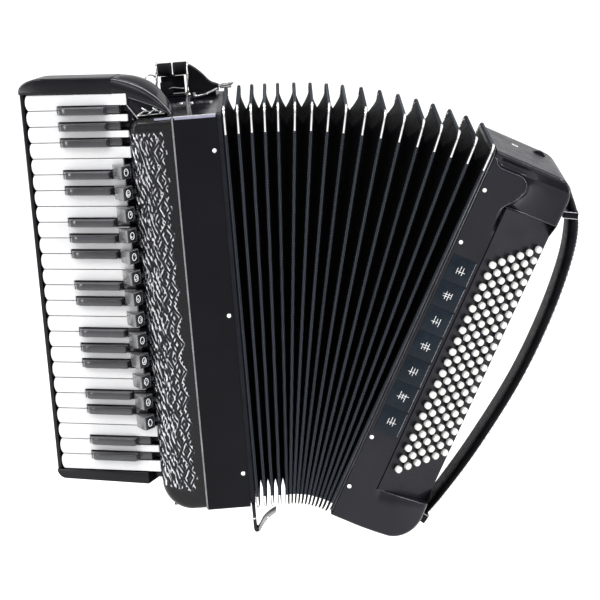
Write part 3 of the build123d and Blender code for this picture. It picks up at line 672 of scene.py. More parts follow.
def relief_height(x, z):
    """Height of the embossing, 0 to 1: wavy flecks on the left, nested diamonds on the right."""
    swing = 1.6 * sin(z / 7.3) + 1.1 * sin(z / 3.1 + x)
    flecks = sin((x + swing) * 1.25) * sin(z / 3.1 + 2.6 * sin(x * 0.6 + z / 23))
    flecks += 0.5 * sin(z * 0.43 + x * 1.3 + 1.4 * sin(z / 11))
    flecks = clamp(0.42 + 0.9 * flecks)
    x, z = (x + 0.35 * sin(z / 2.7) + 0.4 * sin(z / 9.7), z + 0.5 * sin(x / 2.3 + z / 17))
    zc = (z + 7) % CELL - CELL / 2
    along = abs(zc) / (CELL / 2)
    across = abs(x - DIAMOND_X) / DIAMOND_HALF
    if along + across < 1:
        bars = sin((along + across) * 2 * pi * 2.2)
    else:
        bars = sin((along - across) * 2 * pi * 2.0)
    edge_line = 1.0 if abs(along + across - 1) < 0.07 else 0.0
    # How strongly the lattice stands out, which also sets how much painted glint it gets.
    patchy_glints_and_wear = 0.72 + 0.28 * sin(x * 0.8 + 1.7 * sin(z / 5.1))
    lattice = max(edge_line, clamp(0.45 + 1.2 * bars)) * patchy_glints_and_wear
    right = RELIEF_RIGHT + 4.5 * (1 - min(1.0, abs(zc) / 10))
    share = clamp((x - FLECKS_END) / 5)
    height = flecks * (1 - share) + lattice * share
    height *= clamp((right - x) / 0.8) * clamp((RELIEF_HIGH - z) / 6)
    return height * clamp((z - RELIEF_LOW + (x + 80) * 0.25) / 4)


ROWS = 600
COLUMNS_ACROSS = 88
GRILLE_ROUND = 9.0
GRILLE_FRONT = -99.6
GRILLE_CURL = 10
EMBOSS = 0.75
shape = Shape()
grid = []
relief_values = []
for z in spread(GRILLE_LOW, GRILLE_HIGH, ROWS):
    left = GRILLE_LEFT + drawn_in(z, GRILLE_LOW, GRILLE_HIGH, LOW_R, HIGH_R)
    line = []
    for x in spread(GRILLE_RIGHT, left, COLUMNS_ACROSS):
        fall = rounding(depth_inside(x - GRILLE_LEFT, z, GRILLE_LOW, GRILLE_HIGH, LOW_R, HIGH_R),
                        GRILLE_ROUND)
        flat = (x - GRILLE_RIGHT) / (GRILLE_LEFT - GRILLE_RIGHT)
        height = relief_height(x, z)
        relief_values.append(height)
        line.append((x, GRILLE_FRONT + GRILLE_CURL * flat ** 2.2 + fall - EMBOSS * height, z))
    grid.append(line)
shape.loft(grid, 0, False, False)
border = grid[0] + [line[-1] for line in grid[1:-1]] + grid[-1][::-1]
shape.loft([border, [(x, GRILLE_BACK, z) for x, y, z in border]], 1, False, False)
grille = shape.make("grille_relief", [RELIEF_PAINTED_GLINTS, LACQUER], "treble", sharp=70)
relief_values += [0.0] * (len(grille.data.vertices) - len(relief_values))
grille.data.attributes.new("relief", "FLOAT", "POINT").data.foreach_set("value", relief_values)
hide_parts("grille")

# ------------------------------------------------------------ trim and pins of the treble end
shape = Shape()
shape.tube([(-54.2, -100.2, 3), (-54.2, -100.3, 250), (-54.2, -100.1, 499.2)], 1.1, 2, 10)
# The silver lines along the panel's top edge and the light band just under them stand in for the highlight
# on that edge: painted highlight.
shape.tube([(-53, -99.6, 499.6), (-0.8, -99.6, 499.6)], 0.9, 0, 8)
shape.tube([(-63, -98.9, 499.6), (-54.5, -99.3, 499.6)], 0.6, 0, 8)
shape.prism(rectangle(-51.5, 496.2, -1.2, 499.4), 99.8, 100.6, 1, 0.3, FRONT)
shape.prism(rectangle(-76, 497.2, -56, 499.2), 92, 98.6, 1, 0.3, FRONT)
shape.make("treble_trim", [TRIM, TOP_EDGE_HIGHLIGHT_BAND, EDGE_BAR_AND_HIGHLIGHT], "treble")
shape = Shape()
PIN_X = -6
PIN_Y = 100
PIN_Z = (45, 248, 455)
for side in (-1, 1):
    for z in PIN_Z:
        place = axes((PIN_X, side * PIN_Y, z), (1, 0, 0), (0, 0, side), (0, side, 0))
        shape.turned([(0.2, 0.1), (4.1, 0.1), (4.1, 0.35), (3.2, 0.5)], 1, 24, place)
        shape.turned([(2.6, 0.2), (2.6, 1.2), (2.0, 1.9), (1.1, 2.25), (0.1, 2.35)], 0, 20, place)
pins = shape.make("treble_pin_heads", [SILVER, TAB_BLACK], "treble")
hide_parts("treble_bellows_pins")

# ------------------------------------------------------------ treble registers
DOTS = ((0, 1.5), (0, -1.5), (1.5, 0), (-1.5, 0), (1.2, 1.2), (-1.2, -1.2), (0, 0))
TAB_TOP_Z = 437.0
TAB_PITCH = 26.4
TAB_HALF = 8.3
TAB_CREST = (-121.0, -107.2)
TAB_FOOT = (-110.7, -94.6)
for tab in range(13):
    z = TAB_TOP_Z - tab * TAB_PITCH
    shape = Shape()
    outline = [(-133.3, -82.0), (-132.6, -87.4), (-122.2, -106.8), TAB_CREST, TAB_FOOT, (-110.7, -87.2),
               (-119.0, -87.2)]
    shape.prism(outline, z - TAB_HALF, z + TAB_HALF, 0, 0.7, segments=3)
    crest, foot = Vector((*TAB_CREST, z)), Vector((*TAB_FOOT, z))
    along = (foot - crest).normalized()
    out = Vector((along.y, -along.x, 0))
    facet = axes(crest.lerp(foot, 0.5) + out * 0.02, along, (0, 0, 1), out)
    shape.prism(rectangle(-7.6, -7.8, 7.6, 7.8), 0.0, 0.22, 1, 0.1, facet)
    ring = [(3.4 * cos(a), 4.3 * sin(a), 0.3) for a in angles(28)]
    shape.tube(ring, 0.42, 2, 6, True, facet)
    for k in range(1 + (tab * 3) % 4):
        x, y = DOTS[(k * 2 + tab) % 7]
        spot = facet @ Matrix.Translation((x, y * 1.2, 0.2))
        shape.turned([(0.62, 0), (0.62, 0.22), (0.3, 0.4)], 2, 12, spot)
    if tab % 2:
        shape.tube([(-3.2, -1.4, 0.28), (3.2, -1.4, 0.28)], 0.26, 2, 6, False, facet)
    shape.block((-109, -85.9, z), (5.6, 2, 5.6), 1, 0.2)
    body = f"treble_register_{tab + 1}"
    piece = shape.make(f"treble_tab_{tab + 1}", [TAB_GREY, TAB_BLACK, MARK], body)
    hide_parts(body)

# ------------------------------------------------------------ bellows
PER_GROUP = 4
FIRST_X = 9.2
GROUP_X = 22.4
RIDGE_LOW = -3.0
RIDGE_HIGH = 506.0
RIDGE_D = 100.0
RIDGE_R = 11.0
FOLD_TOP = 0.9
FOLD_DEPTH = 28.0
FOLD_R = 6.0
RIDGES = 17


def section_place(share, group):
    """Placement of the closed bellows' cross-section at a share of one group of folds."""
    angle = fan_angles[group] * share
    shift = Matrix.Translation(((FIRST_X + GROUP_X * (group + share)) * MM, 0, 0))
    return turn(fan_pivots[group], angle) @ stations[group] @ shift


def loop(inset, radius, low, high, steps=6):
    """A section's path in (y, z) past its top when high is None, or past its bottom when low is None."""
    y = RIDGE_D - inset
    if high is None:
        end = low
        corner = arc((-y + radius, RIDGE_HIGH - inset - radius), radius, 180, 90, steps)
    else:
        end = high
        corner = arc((-y + radius, RIDGE_LOW + inset + radius), radius, 180, 270, steps)
    return [(-y, end), *corner, *[(-a, b) for a, b in corner[::-1]], (y, end)]


def unsmooth(value):
    """The place along a blend where its weight has this value."""
    return 0.5 - sin(asin(1 - 2 * value) / 3)


BANDS = [None, 80, 170, 260, 350, 430, None]
FOLD_POWER = 1.8
FOLD_STEPS = (0.0, 0.1, 0.24, 0.42, 0.62, 0.82, 1.0)
fold_number = 0
for group in range(len(fan_pivots)):
    for fold in range(PER_GROUP):
        fold_number += 1
        levels = [(step, (fold + 0.5 * step ** FOLD_POWER) / PER_GROUP) for step in FOLD_STEPS]
        levels += [(step, (fold + 1 - 0.5 * step ** FOLD_POWER) / PER_GROUP) for step in FOLD_STEPS[-2::-1]]
        for band in range(len(BANDS) - 1):
            low, high = BANDS[band], BANDS[band + 1]
            shape = Shape()
            strips = [[], []]
            for step, share in levels:
                place = section_place(share, group)
                inset = FOLD_TOP + (FOLD_DEPTH - FOLD_TOP) * step
                radius = RIDGE_R + (FOLD_R - RIDGE_R) * step
                if low is None or high is None:
                    path = loop(inset, radius, low, high)
                    strips[0].append([place @ Vector((0, y * MM, z * MM)) / MM for y, z in path])
                else:
                    for side, sign in enumerate((-1, 1)):
                        y = sign * (RIDGE_D - inset)
                        strips[side].append([place @ Vector((0, y * MM, z * MM)) / MM for z in (low, high)])
            for strip in strips:
                if strip:
                    shape.loft(strip, 0, False, False)
            piece = shape.make(f"fold_{fold_number}_{band + 1}", [CARD], None, Matrix.Identity(4), sharp=60)
            middle = ((low or RIDGE_LOW) + (high or RIDGE_HIGH)) / 2 * MM
            first = section_place(fold / PER_GROUP, group) @ Vector((0, 0, middle))
            last = section_place((fold + 1) / PER_GROUP, group) @ Vector((0, 0, middle))
            t_first = unsmooth(fold / PER_GROUP)
            t_last = unsmooth((fold + 1) / PER_GROUP)
            step = (last - first) / (t_last - t_first)
            start = first - step * t_first
            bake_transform(piece)
            if fold_number == 1 and band == 0:
                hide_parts("bellows_folds")


def corner_path(side_y, side_z, start, end, steps):
    """Points of one corner of a ridge as (y, z, outward y, outward z), angles in degrees."""
    y = side_y * (RIDGE_D - RIDGE_R)
    z = RIDGE_HIGH - RIDGE_R if side_z > 0 else RIDGE_LOW + RIDGE_R
    points = []
    for angle in spread(radians(start), radians(end), steps):
        points.append((y + RIDGE_R * cos(angle), z + RIDGE_R * sin(angle), cos(angle),
                       sin(angle)))
    return points


def ridge_path(pitch):
    """The whole outline of a ridge, its straight stretches divided by the pitch."""
    points = []
    for corner in ((-1, 1, 180, 90), (1, 1, 90, 0), (1, -1, 0, -90), (-1, -1, 270, 180)):
        points += corner_path(*corner, 9)
    out = []
    for index, (y, z, ny, nz) in enumerate(points):
        after_y, after_z = points[(index + 1) % len(points)][:2]
        out.append((y, z, ny, nz))
        count = int(hypot(after_y - y, after_z - z) / pitch)
        for k in range(1, count):
            out.append((y + (after_y - y) * k / count, z + (after_z - z) * k / count, ny, nz))
    return out


def swept(path, profiles):
    """Rings along a path like corner_path's, from (x, outward distance) profiles used in turn."""
    return [[(x, y + ny * d, z + nz * d) for x, d in profiles[index % len(profiles)]]
            for index, (y, z, ny, nz) in enumerate(path)]


def tape_profile(width):
    return [(-width, -4.2), (-width, -0.7), (-0.8, 0.1), (0.8, 0.1), (width, -0.7), (width, -4.2)]


TOOTH_PITCH = 1.9
TAPE_WIDTHS = (1.35, 2.1)
METAL_PROFILE = [(-1.55, -6.5), (-1.6, -0.5), (-0.95, 0.5), (0.95, 0.5), (1.6, -0.5), (1.55, -6.5)]
METAL_DOWN = 22
METAL_UP = 5
METAL_IN = 5
BLEND_REACH = 40.0
tape_path = ridge_path(TOOTH_PITCH)
for ridge in range(RIDGES):
    group = min(len(fan_pivots) - 1, ridge // PER_GROUP)
    share = ridge / PER_GROUP - group
    place = section_place(share, group)
    shape = Shape()
    rings = swept(tape_path, [tape_profile(width) for width in TAPE_WIDTHS])
    rings.append(rings[0])
    shape.loft(rings, 0, False, False)
    for side_y in (-1, 1):
        for side_z in (-1, 1):
            path = corner_path(side_y, side_z, 0 if side_y > 0 else 180, 90 * side_z if side_y > 0
                               else 180 - 90 * side_z, 8)
            z, top = path[0][1], path[-1][1]
            path.insert(0, (side_y * RIDGE_D, z - METAL_DOWN if side_z > 0 else z + METAL_UP, side_y, 0))
            path.append((side_y * (RIDGE_D - RIDGE_R - METAL_IN), top, 0, side_z))
            shape.loft(swept(path, [METAL_PROFILE]), 1, False, False)
    name = f"bellows_ridge_{ridge + 1}"
    if ridge % PER_GROUP == 0:
        piece = shape.make(name, [TAPE, SILVER], BODIES[ridge // PER_GROUP], place, sharp=50)
    else:
        piece = shape.make(name, [TAPE, SILVER], None, place, sharp=50)
        normal = (place.to_3x3() @ X_AXIS).normalized()
        centre = place @ Vector((0, 0, 0.25))
        start = centre - normal * BLEND_REACH * unsmooth(share)
        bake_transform(piece)

# rails of the bass frame drawn light as painted highlight on its edges, and the dark ones of the treble
# frame
shape = Shape()
for x in (-0.6, 2.6):
    shape.tube([(x, -100.2, 3.5), (x, -100.25, 250), (x, -100.2, 492), (x, -97, 498.6), (x, -90, 500.8)],
               0.36, 0, 6)
    shape.tube([(x, -90, 500.8), (x, 90, 500.8)], 0.36, 0, 6)
shape.make("bass_frame_rails", [EDGE_HIGHLIGHT_LINE], "bass", BASS)
shape = Shape()
for x in (1.6, 4.6):
    shape.tube([(x, -99.3, 4), (x, -99.3, 498)], 0.35, 0, 6)
shape.make("treble_frame_rails", [FRAME_BLACK], "treble")

# ------------------------------------------------------------ bass case
BASS_LEFT = 4.2
BASS_RIGHT = 115.0
BASS_LOW = -2.5
BASS_HIGH = 502.5
BASS_FRONT = -99.7
BASS_ROUND = 4.5
LOW_CORNER = 35.0
HIGH_CORNER = 28.0
BOARD_LEFT = 42.5
BOARD_LOW = 51.0
BOARD_HIGH = 441.5
BOARD_FACE = -98.5
BOARD_TILT = radians(33.3)
HOLLOW = 24
HOLLOW_FADE = 15
LOBE_FROM = 420
LOBE_STEP = 1.6
LOBE_NECK = 37.0
LOBE_CENTRE = (42.0, 471.0)
LOBE_R = 14.0
LOBE = [(0, 400), (LOBE_NECK, 400), (LOBE_NECK, 436), (50, 455)]
LOBE += arc(LOBE_CENTRE, LOBE_R, -30, 90, 6)
LOBE += [(16, LOBE_CENTRE[1] + LOBE_R), (7, 493), (0, 494)]
lobe_points = side_curve(LOBE, 90)


def case_right(z):
    """The bass case's outer edge at a height, with its rounded corners."""
    return BASS_RIGHT - drawn_in(z, BASS_LOW, BASS_HIGH, LOW_CORNER, HIGH_CORNER)


def outside(x, z, loop_points):
    """Distance outside a closed line, 0 inside it."""
    nearest = 1e9
    crossings = 0
    for index, a in enumerate(loop_points):
        b = loop_points[(index + 1) % len(loop_points)]
        dx, dz = b.x - a.x, b.z - a.z
        along = clamp(((x - a.x) * dx + (z - a.z) * dz) / max(1e-9, dx * dx + dz * dz))
        nearest = min(nearest, hypot(x - a.x - dx * along, z - a.z - dz * along))
        if (a.z > z) != (b.z > z) and x < a.x + dx * (z - a.z) / dz:
            crossings += 1
    return 0.0 if crossings % 2 else nearest


def case_front(x, z):
    """The front of the bass case: flat beside the bellows, hollowed round the lobe and towards the hand."""
    if z > LOBE_FROM:
        away = outside(x, z, lobe_points)
        drop = (LOBE_STEP + HOLLOW * (1 - exp(-away / HOLLOW_FADE))) * min(1.0, away / 1.2)
        drop *= min(1.0, max(0.12, (BASS_HIGH - z - 2.5) / 14))
    elif z < 60:
        curl = max(0.0, (x - BOARD_LEFT + 6) / (BASS_RIGHT - BOARD_LEFT + 6))
        hollow = max(0.0, 1 - (BOARD_LOW - z) / 22) * clamp((x - 38) / 12)
        drop = HOLLOW * curl ** 1.7 + 6 * hollow ** 2
    else:
        drop = 0.0
    inside = depth_inside(BASS_RIGHT - x, z, BASS_LOW, BASS_HIGH, LOW_CORNER, HIGH_CORNER)
    return BASS_FRONT + drop + rounding(inside, BASS_ROUND)


low_rows = [BASS_LOW + (BOARD_LOW - BASS_LOW) * (k / 34) ** 1.4 for k in range(35)]
high_rows = [BASS_HIGH - (BASS_HIGH - BOARD_HIGH) * (1 - k / 44) ** 1.3 for k in range(45)]
middle_rows = spread(BOARD_LOW, BOARD_HIGH, 20)[1:-1]
shape = Shape()
shape.loft([[(x, case_front(x, z), z) for x in spread(BASS_LEFT, BOARD_LEFT, 26)]
            for z in low_rows + middle_rows + high_rows], 0, False, False)
for rows_here in (low_rows, high_rows):
    strip = []
    for z in rows_here:
        width = case_right(z) - BOARD_LEFT
        across = [BOARD_LEFT + width * sin(angle) for angle in spread(0, pi / 2, 44)]
        strip.append([(x, case_front(x, z), z) for x in across])
    shape.loft(strip, 0, False, False)
board_end = BOARD_FACE + (BASS_RIGHT - BOARD_LEFT) * tan(BOARD_TILT)
for z in (BOARD_LOW, BOARD_HIGH):
    shape.loft([[(x, case_front(x, z), z) for x in spread(BOARD_LEFT, BASS_RIGHT, 20)],
                [(x, BOARD_FACE + (x - BOARD_LEFT) * tan(BOARD_TILT) + 3, z)
                 for x in spread(BOARD_LEFT, BASS_RIGHT, 20)]], 0, False, False)
border = [(x, BASS_LOW) for x in spread(BASS_LEFT, BASS_RIGHT - LOW_CORNER, 8)]
border += [(case_right(z), z) for z in low_rows[1:]]
border += [(BASS_RIGHT, z) for z in middle_rows]
border += [(case_right(z), z) for z in high_rows[:-1]]
border += [(x, BASS_HIGH) for x in spread(BASS_RIGHT - HIGH_CORNER, BASS_LEFT, 8)]
rings = [[(x, board_end + 2 if BOARD_LOW < z < BOARD_HIGH else case_front(x, z), z) for x, z in border]]
for y, inset in ((-40, 0), (60, 0), (88, 0), (92, 0.7), (96, 2.7), (98.8, 5.8), (100, 10)):
    rings.append([(BASS_LEFT + (x - BASS_LEFT) * (1 - inset / 111), y,
                   246 + (z - 246) * (1 - inset / 250)) for x, z in border])
shape.loft(rings, 1, False, False)
shape.add(rings[-1], [list(range(len(border)))], 1)
bass_shell = shape.make("bass_shell", [BASS_BLACK, SATIN], "bass", BASS, sharp=34)
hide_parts("bass_case")
shape = Shape()
# Light lines along the lobe's outline, the top rim and the board's edges: painted highlight on those edges;
# the dots below are real marks.
outline_points = [point for point in lobe_points if point.z > 425 and point.x > 4]
shape.tube([(p.x, -99.9, p.z) for p in outline_points], 0.3, 0, 6)
shape.tube([(x, case_front(x, 501) - 0.4, 500.6) for x in spread(6, 96, 20)], 0.35, 0, 6)
for z in (BOARD_LOW, BOARD_HIGH):
    inside = 0.4 if z == BOARD_HIGH else -0.4
    shape.tube([(x, case_front(x, z + inside) - 0.1, z + inside) for x in spread(43, 113, 16)], 0.3, 0, 6)
for k in range(8):
    angle = radians(45 * k + 22.5)
    dot = Matrix.Translation((39.5 + 3.6 * cos(angle), 27.5 + 5.4 * sin(angle), BASS_HIGH))
    shape.turned([(1.0, 0.0), (1.0, 0.3), (0.5, 0.55)], 1, 10, dot)
shape.make("bass_edge_lines", [EDGE_HIGHLIGHT_LINE, MARK], "bass", BASS)
shape = Shape()
WHEEL = facing_front(75, 47, 496.5)
wheel = [(radius * cos(a), radius * sin(a)) for a, radius in zip(angles(72), (10.1, 10.9) * 36)]
shape.prism(wheel, -4.5, 4.5, 0, 0.0, WHEEL)
shape.turned([(3.0, -5.2), (3.0, 5.2), (1.2, 5.4)], 1, 20, WHEEL)
wheel_piece = shape.make("adjuster_wheel", [TAB_BLACK, STEEL], "strap_adjuster", BASS)
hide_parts("strap_adjuster")

# ------------------------------------------------------------ bass buttons
BOARD_PLACE = axes((BOARD_LEFT, BOARD_FACE, 0), (cos(BOARD_TILT), sin(BOARD_TILT), 0), (0, 0, 1),
                   (sin(BOARD_TILT), -cos(BOARD_TILT), 0))
FIRST_BUTTON = (15.8, 369.5)
COLUMN_STEP = (11.84, 7.1)
BUTTON_PITCH = 15
COLUMNS = ("counterbass", "bass", "major", "minor", "seventh", "diminished")
for column, name in enumerate(COLUMNS):
    shape = Shape()
    for row in range(20):
        up_board = FIRST_BUTTON[0] + COLUMN_STEP[0] * column
        z = FIRST_BUTTON[1] + COLUMN_STEP[1] * column - BUTTON_PITCH * row
        place = BOARD_PLACE @ Matrix.Translation((up_board, z, 0))
        cap = [(3.9, 2.75), (4.4, 3.1), (4.5, 3.8), (4.5, 6.3), (4.2, 7.15), (3.4, 7.6), (2.6, 7.55),
               (1.2, 7.3),
               (0.1, 7.25)]
        shape.turned(cap, 0, 20, place)
        shape.turned([(2.5, -13.8), (2.5, 3.0)], 1, 12, place)
    piece = shape.make(f"{name}_button_caps", [BUTTON, STEEL], f"{name}_buttons", BASS)
    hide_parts(f"{name}_buttons")

# ------------------------------------------------------------ bass registers
PLATE_TOP_Z = 348.0
PLATE_PITCH = 34.8
for tab in range(7):
    z = PLATE_TOP_Z - tab * PLATE_PITCH
    shape = Shape()
    shape.prism([(7.6, -91.2), (7.6, -100.7), (38.6, -100.9), (41.9, -98.4), (41.9, -91.2)], z - 16.9,
                z + 16.9, 0,
                0.5, segments=2)
    shape.prism([(38.3, -101.0), (41.9, -98.3), (41.9, -97.0), (38.0, -99.6)], z - 15.8, z + 15.8, 2, 0.25)
    mark = facing_front(23.5, -100.85, z)
    for k in range(3):
        x = -3.6 + 3.6 * k
        reach = 5.2 if (k + tab) % 3 else 3.8
        lift = 0.8 * ((k * 2 + tab) % 3 - 1)
        shape.tube([(x, lift - reach, 0.1), (x, lift + reach, 0.1)], 0.34, 1, 6, False, mark)
    for k in range(1 + tab % 2):
        y = -1.6 + 3.0 * k
        start = -7.0 if (tab + k) % 3 else -2.5
        shape.tube([(start, y, 0.14), (start + 9.5 + k, y + 0.5, 0.14)], 0.3, 1, 6, False, mark)
    body = f"bass_register_{tab + 1}"
    piece = shape.make(f"bass_tab_{tab + 1}", [PLATE, MARK, TRIM], body, BASS)
    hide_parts(body)

# ------------------------------------------------------------ bass strap
STRAP_OUT = [(120, 486), (147, 452), (161, 400), (168, 320), (166, 230), (153, 130), (138, 60), (127, 24)]
STRAP_IN = [(118, 474), (134, 442), (147, 394), (154, 318), (153, 230), (141, 134), (128, 64), (120, 28)]
STRAP_HALF = 31.5
outer_line = side_curve(STRAP_OUT, 70)
inner_line = side_curve(STRAP_IN, 70)
shape = Shape()
rings = []
for outer_point, inner_point in zip(outer_line, inner_line):
    middle = (outer_point + inner_point) / 2
    thick = (outer_point - inner_point) / 2
    ring = []
    for angle in angles(40):
        c, s = cos(angle), sin(angle)
        across = STRAP_HALF * copysign(abs(c) ** 0.42, c)
        crown = 0.5 + 0.5 * sqrt(max(0.0, 1 - (across / STRAP_HALF) ** 2))
        through = copysign(abs(s) ** 0.8, s) * (crown if s > 0 else 0.93)
        ring.append(middle + Vector((0, across, 0)) + thick * through)
    rings.append(ring)
shape.loft(rings, 0, True, True)
strap = shape.make("bass_hand_strap", [LEATHER], "bass", BASS, sharp=75)
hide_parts("bass_strap")
shape = Shape()
for side in (-27.0, 27.0):
    for k in range(3, 68):
        out = (outer_line[k] - inner_line[k]).normalized()
        ahead = (outer_line[k + 1] - outer_line[k - 1]).normalized() * 1.6
        centre = inner_line[k].lerp(outer_line[k], 0.87) + Vector((0, side, 0)) - out * 0.1
        shape.tube([centre - ahead, centre + out * 0.3, centre + ahead], 0.3, 0, 5)
shape.make("bass_strap_stitching", [THREAD], "bass", BASS)
shape = Shape()
for centre, size, lean in (((131, 457), (17, 9), -18), ((121.5, 24), (11, 12), 10)):
    place = Matrix.Translation((centre[0], 0, centre[1])) @ Matrix.Rotation(radians(lean), 4, "Y")
    half = size[0] / 2
    for face in (-1, 1):
        shape.block((face * half, 0, 0), (2.2, 72, size[1]), 0, 0.6, place)
        shape.block((0, face * 35, 0), (size[0], 2.2, size[1]), 0, 0.6, place)
    for edge in (-1, 1):
        z = edge * (size[1] / 2 - 0.5)
        shape.tube([(-half - 1, -36.4, z), (half + 1, -36.4, z)], 0.35, 1, 6, False, place)
        shape.tube([(half + 1.2, -36, z), (half + 1.2, 36, z)], 0.35, 1, 6, False, place)
shape.make("bass_strap_loops", [LACQUER, TRIM], "bass", BASS)

# ------------------------------------------------------------ shoulder strap, hardware, bellows strap
shape = Shape()
for start, end in ((-76, -57.6), (-56.2, -38)):
    length = end - start
    profile = [(3, 0), (7.4, 0.1), (8.2, 0.8), (8.5, length * 0.3), (8.4, length * 0.6), (8.3, length - 0.8),
               (7.4, length - 0.1), (3, length)]
    place = axes((start, 84, 534.6), (0, 1, 0), (0, 0, 1), (1, 0, 0))
    shape.turned(profile, 0, 40, place)
    for ring in (0.12, 0.88):
        circle = [(8.5 * cos(a), 8.5 * sin(a), length * ring) for a in angles(40)]
        shape.tube(circle, 0.28, 1, 5, True, place)
strap_top = [(-75, 543), (-60, 542.4), (-42, 541), (-30, 535), (-20, 526), (-10, 515), (0, 510.5)]
strap_low = [(-75, 539), (-60, 538), (-43, 503), (-34, 503), (-24, 503), (-10, 503), (0, 503.4)]
rings = []
for top_point, low_point in zip(side_curve(strap_top, 30),
                                side_curve(strap_low, 30)):
    if top_point.x < -41:
        continue
    edges = ((91.5, 0.8), (90, 0), (78, 0), (76.5, 0.8))
    rings.append([top_point + Vector((0, y, -drop)) for y, drop in edges]
                 + [low_point + Vector((0, y, drop)) for y, drop in edges[::-1]])
shape.loft(rings, 0, True, True)
for y in (79.2, 88.8):
    for k in range(2, len(rings) - 2):
        here, after = rings[k][2], rings[k + 1][2]
        shape.tube([(here.x + 0.3, y, here.z + 0.1), (after.x - 0.3, y, after.z + 0.1)], 0.22, 1, 5)
shape.block((-58, 89, 514), (30, 3.6, 22), 0, 0.8)
shape.block((-66, 80, 511), (16, 3.2, 16), 0, 0.8)
straps = shape.make("shoulder_strap_roll", [LEATHER, THREAD], "treble", sharp=60)
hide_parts("shoulder_straps")
shape = Shape()
for x in (-78.0, -38.0):
    wire = [(x, 73, 502), (x - 1, 73.5, 512), (x, 74, 524), (x, 75.5, 535), (x + 1, 79, 542),
            (x + 1, 84, 544),
            (x + 1, 89, 542), (x, 92.5, 535), (x, 94, 524), (x - 1, 94.5, 512), (x, 95, 502)]
    shape.tube(curve_through(wire, 44), 1.15, 0, 10)
    for y in (73, 95):
        shape.turned([(4.2, 500.2), (4.2, 502.4), (2.4, 504)], 0, 16, Matrix.Translation((x, y, 0)))
shape.tube([(-80, 84, 528), (-58, 84, 526.6), (-36, 84, 530)], 1.3, 0, 10)
shape.tube([(-74, 80, 508), (-58, 79, 511.5), (-44, 80, 509)], 1.0, 0, 8)
ring = [(-86 + 8 * cos(a), 86, 520 + 9 * sin(a)) for a in angles(32)]
shape.tube(ring, 1.1, 0, 8, True)
shape.block((-58, 84, 501.3), (50, 24, 2.2), 2, 0.6)
for x, z in ((-16, 504.4), (9, 506.2)):
    shape.block((x, 85, z), (15, 11, 2.0), 0, 0.6)
for y, bow in ((80, -0.5), (90, 0.5)):
    shape.tube([(-12, y, 506), (0, y + bow, 508.4), (17, y, 510)], 1.3, 0, 8)
shape.tube([(17, 80, 510), (18.4, 85, 510.4), (17, 90, 510)], 1.3, 0, 8)
shape.tube([(-28, 40, 503), (-18, 42, 504), (-8, 52, 506), (-2, 66, 507)], 1.7, 0, 10)
shape.turned([(0.2, -2.6), (2.4, -1.6), (2.9, 0.6), (2.0, 2.2), (0.2, 2.7)], 0, 16,
             Matrix.Translation((-28, 40, 503.4)))
for x, y in ((-46, 8), (-33, 6), (-8, 2)):
    shape.turned([(2.6, 500), (2.4, 500.9), (1.4, 501.5), (0.2, 501.7)], 0, 16,
                 Matrix.Translation((x, y, 0)))
shape.block((-16, 60, 503), (26, 9, 5.6), 1, 0.8)
shape.block((-40, 101, 30), (44, 1.8, 24), 3, 0.6)
for x in (-55, -25):
    shape.turned([(2.4, 0), (2.2, 0.4), (0.3, 0.6)], 0, 16,
                 axes((x, 101.8, 30), (1, 0, 0), (0, 0, -1), (0, 1, 0)))
hardware = shape.make("strap_hardware", [CHROME, LACQUER, LACQUER, STEEL], "treble")
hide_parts("strap_brackets")
shape = Shape()
BAND_OUT = [(5.2, 2), (5.0, -14), (5.2, -29), (7.2, -30.6), (14, -20), (22, -13), (31, -8.2)]
BAND_IN = [(0.8, 2), (1.2, -14), (1.6, -32.6), (8, -34.2), (15.5, -24), (23, -17), (31, -11.4)]
band_outer = side_curve(BAND_OUT, 40)
band_inner = side_curve(BAND_IN, 40)
# The stretch hanging down takes the darker copy, painted shade on the strap's inner face; the stretch
# curving up takes the grey strap.
for first, last, number in ((0, 20, 0), (20, 40, 1)):
    rings = []
    for k in range(first, last + 1):
        a, b = band_outer[k], band_inner[k]
        rings.append([(a.x, -91.3, a.z), (a.x, -74.5, a.z), (b.x, -74.5, b.z), (b.x, -91.3, b.z),
                      ((a.x + b.x) / 2, -92, (a.z + b.z) / 2)])
    shape.loft(rings, number, True, True)
for k in (8, 31):
    rivet = (band_outer[k] + band_inner[k]) / 2
    shape.turned([(1.3, 91.3), (1.2, 91.9), (0.7, 92.3), (0.1, 92.4)], 2, 18, facing_front(*rivet))
closing = shape.make("bellows_closing_strap", [CLOSING_STRAP_SHADE, GREY_STRAP, SILVER], "treble", sharp=50)
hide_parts("bellows_strap")

# ------------------------------------------------------------ camera, light and floor
LOOK = (82.0, 0.0, 238.3)
ELEVATION = 12.52
AZIMUTH = 0.45
ROLL = -4.74
DISTANCE = 3.442
LENS = 162.5
look = TREBLE @ (Vector(LOOK) * MM)
elevation = radians(ELEVATION)
azimuth = radians(AZIMUTH)
roll = radians(ROLL)
back = Vector((sin(azimuth) * cos(elevation), -cos(azimuth) * cos(elevation),
               sin(elevation)))
right = Vector((cos(azimuth), sin(azimuth), 0))
up = back.cross(right)
rolled_right = right * cos(roll) + up * sin(roll)
rolled_up = up * cos(roll) - right * sin(roll)
camera_data = bpy.data.cameras.new("camera")
camera_data.sensor_width = 36
camera_data.lens = LENS
camera_data.clip_end = 100
camera = bpy.data.objects.new("camera", camera_data)
camera.matrix_world = axes(look + back * DISTANCE, rolled_right, rolled_up, back)
bpy.context.scene.collection.objects.link(camera)
bpy.context.scene.camera = camera

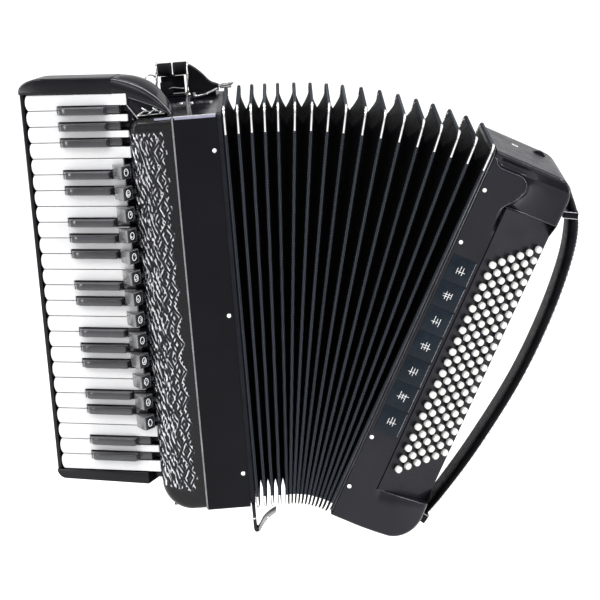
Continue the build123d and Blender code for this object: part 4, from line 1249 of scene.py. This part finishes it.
FLOOR_DROP = 0.3
FLOOR = 80.0
floor_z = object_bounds()[0][2] - FLOOR_DROP
floor_mesh = bpy.data.meshes.new("floor")
corners = [(x * FLOOR, y * FLOOR, floor_z) for x, y in ((-1, -1), (1, -1), (1, 1), (-1, 1))]
floor_mesh.from_pydata(corners, [], [(0, 1, 2, 3)])
floor_material = surface("pale_floor", (0.93, 0.93, 0.93), (0.96, 0.96, 0.96), (0.7, 0.9), wear=2, grain=20,
                         lift=0.0)
floor_mesh.materials.append(floor_material)
floor = bpy.data.objects.new("floor", floor_mesh)
bpy.context.scene.collection.objects.link(floor)

world = bpy.data.worlds.new("world")
bpy.context.scene.world = world
world.use_nodes = True
tree = world.node_tree
direction = tree.nodes.new("ShaderNodeTexCoord")
split = tree.nodes.new("ShaderNodeSeparateXYZ")
tree.links.new(direction.outputs["Generated"], split.inputs[0])
rise = tree.nodes.new("ShaderNodeMath")
rise.operation = "MULTIPLY_ADD"
rise.inputs[1].default_value = 0.5
rise.inputs[2].default_value = 0.5
tree.links.new(split.outputs["Z"], rise.inputs[0])
sky = ramp(tree, rise.outputs[0], [(0.48, (0.35, 0.35, 0.36)), (0.72, 1.0)])
tree.links.new(sky, tree.nodes["Background"].inputs[0])
tree.nodes["Background"].inputs[1].default_value = 1.35


def area_light(name, place, target, size, power):
    data = bpy.data.lights.new(name, "AREA")
    data.shape = "RECTANGLE"
    data.size, data.size_y = size
    data.energy = power
    light = bpy.data.objects.new(name, data)
    direction = Vector(place) - Vector(target)
    light.location = place
    light.rotation_euler = direction.to_track_quat("Z", "Y").to_euler()
    bpy.context.scene.collection.objects.link(light)


area_light("key_light", (-1.6, -1.8, 2.2), (0.1, 0, 0.2), (0.9, 0.9), 22)
area_light("top_light", (0.2, 0.3, 2.4), (0.1, 0, 0.2), (1.6, 0.3), 24)
area_light("front_top_light", (0.2, -1.5, 2.6), (0.1, 0, 0.2), (1.8, 0.25), 18)
area_light("left_strip", (-2.4, -0.9, 0.9), (-0.1, 0, 0.2), (0.25, 1.8), 22)
area_light("right_strip", (2.5, -1.0, 1.2), (0.2, 0, 0.2), (0.25, 1.8), 40)
bpy.context.scene.view_settings.view_transform = "Standard"
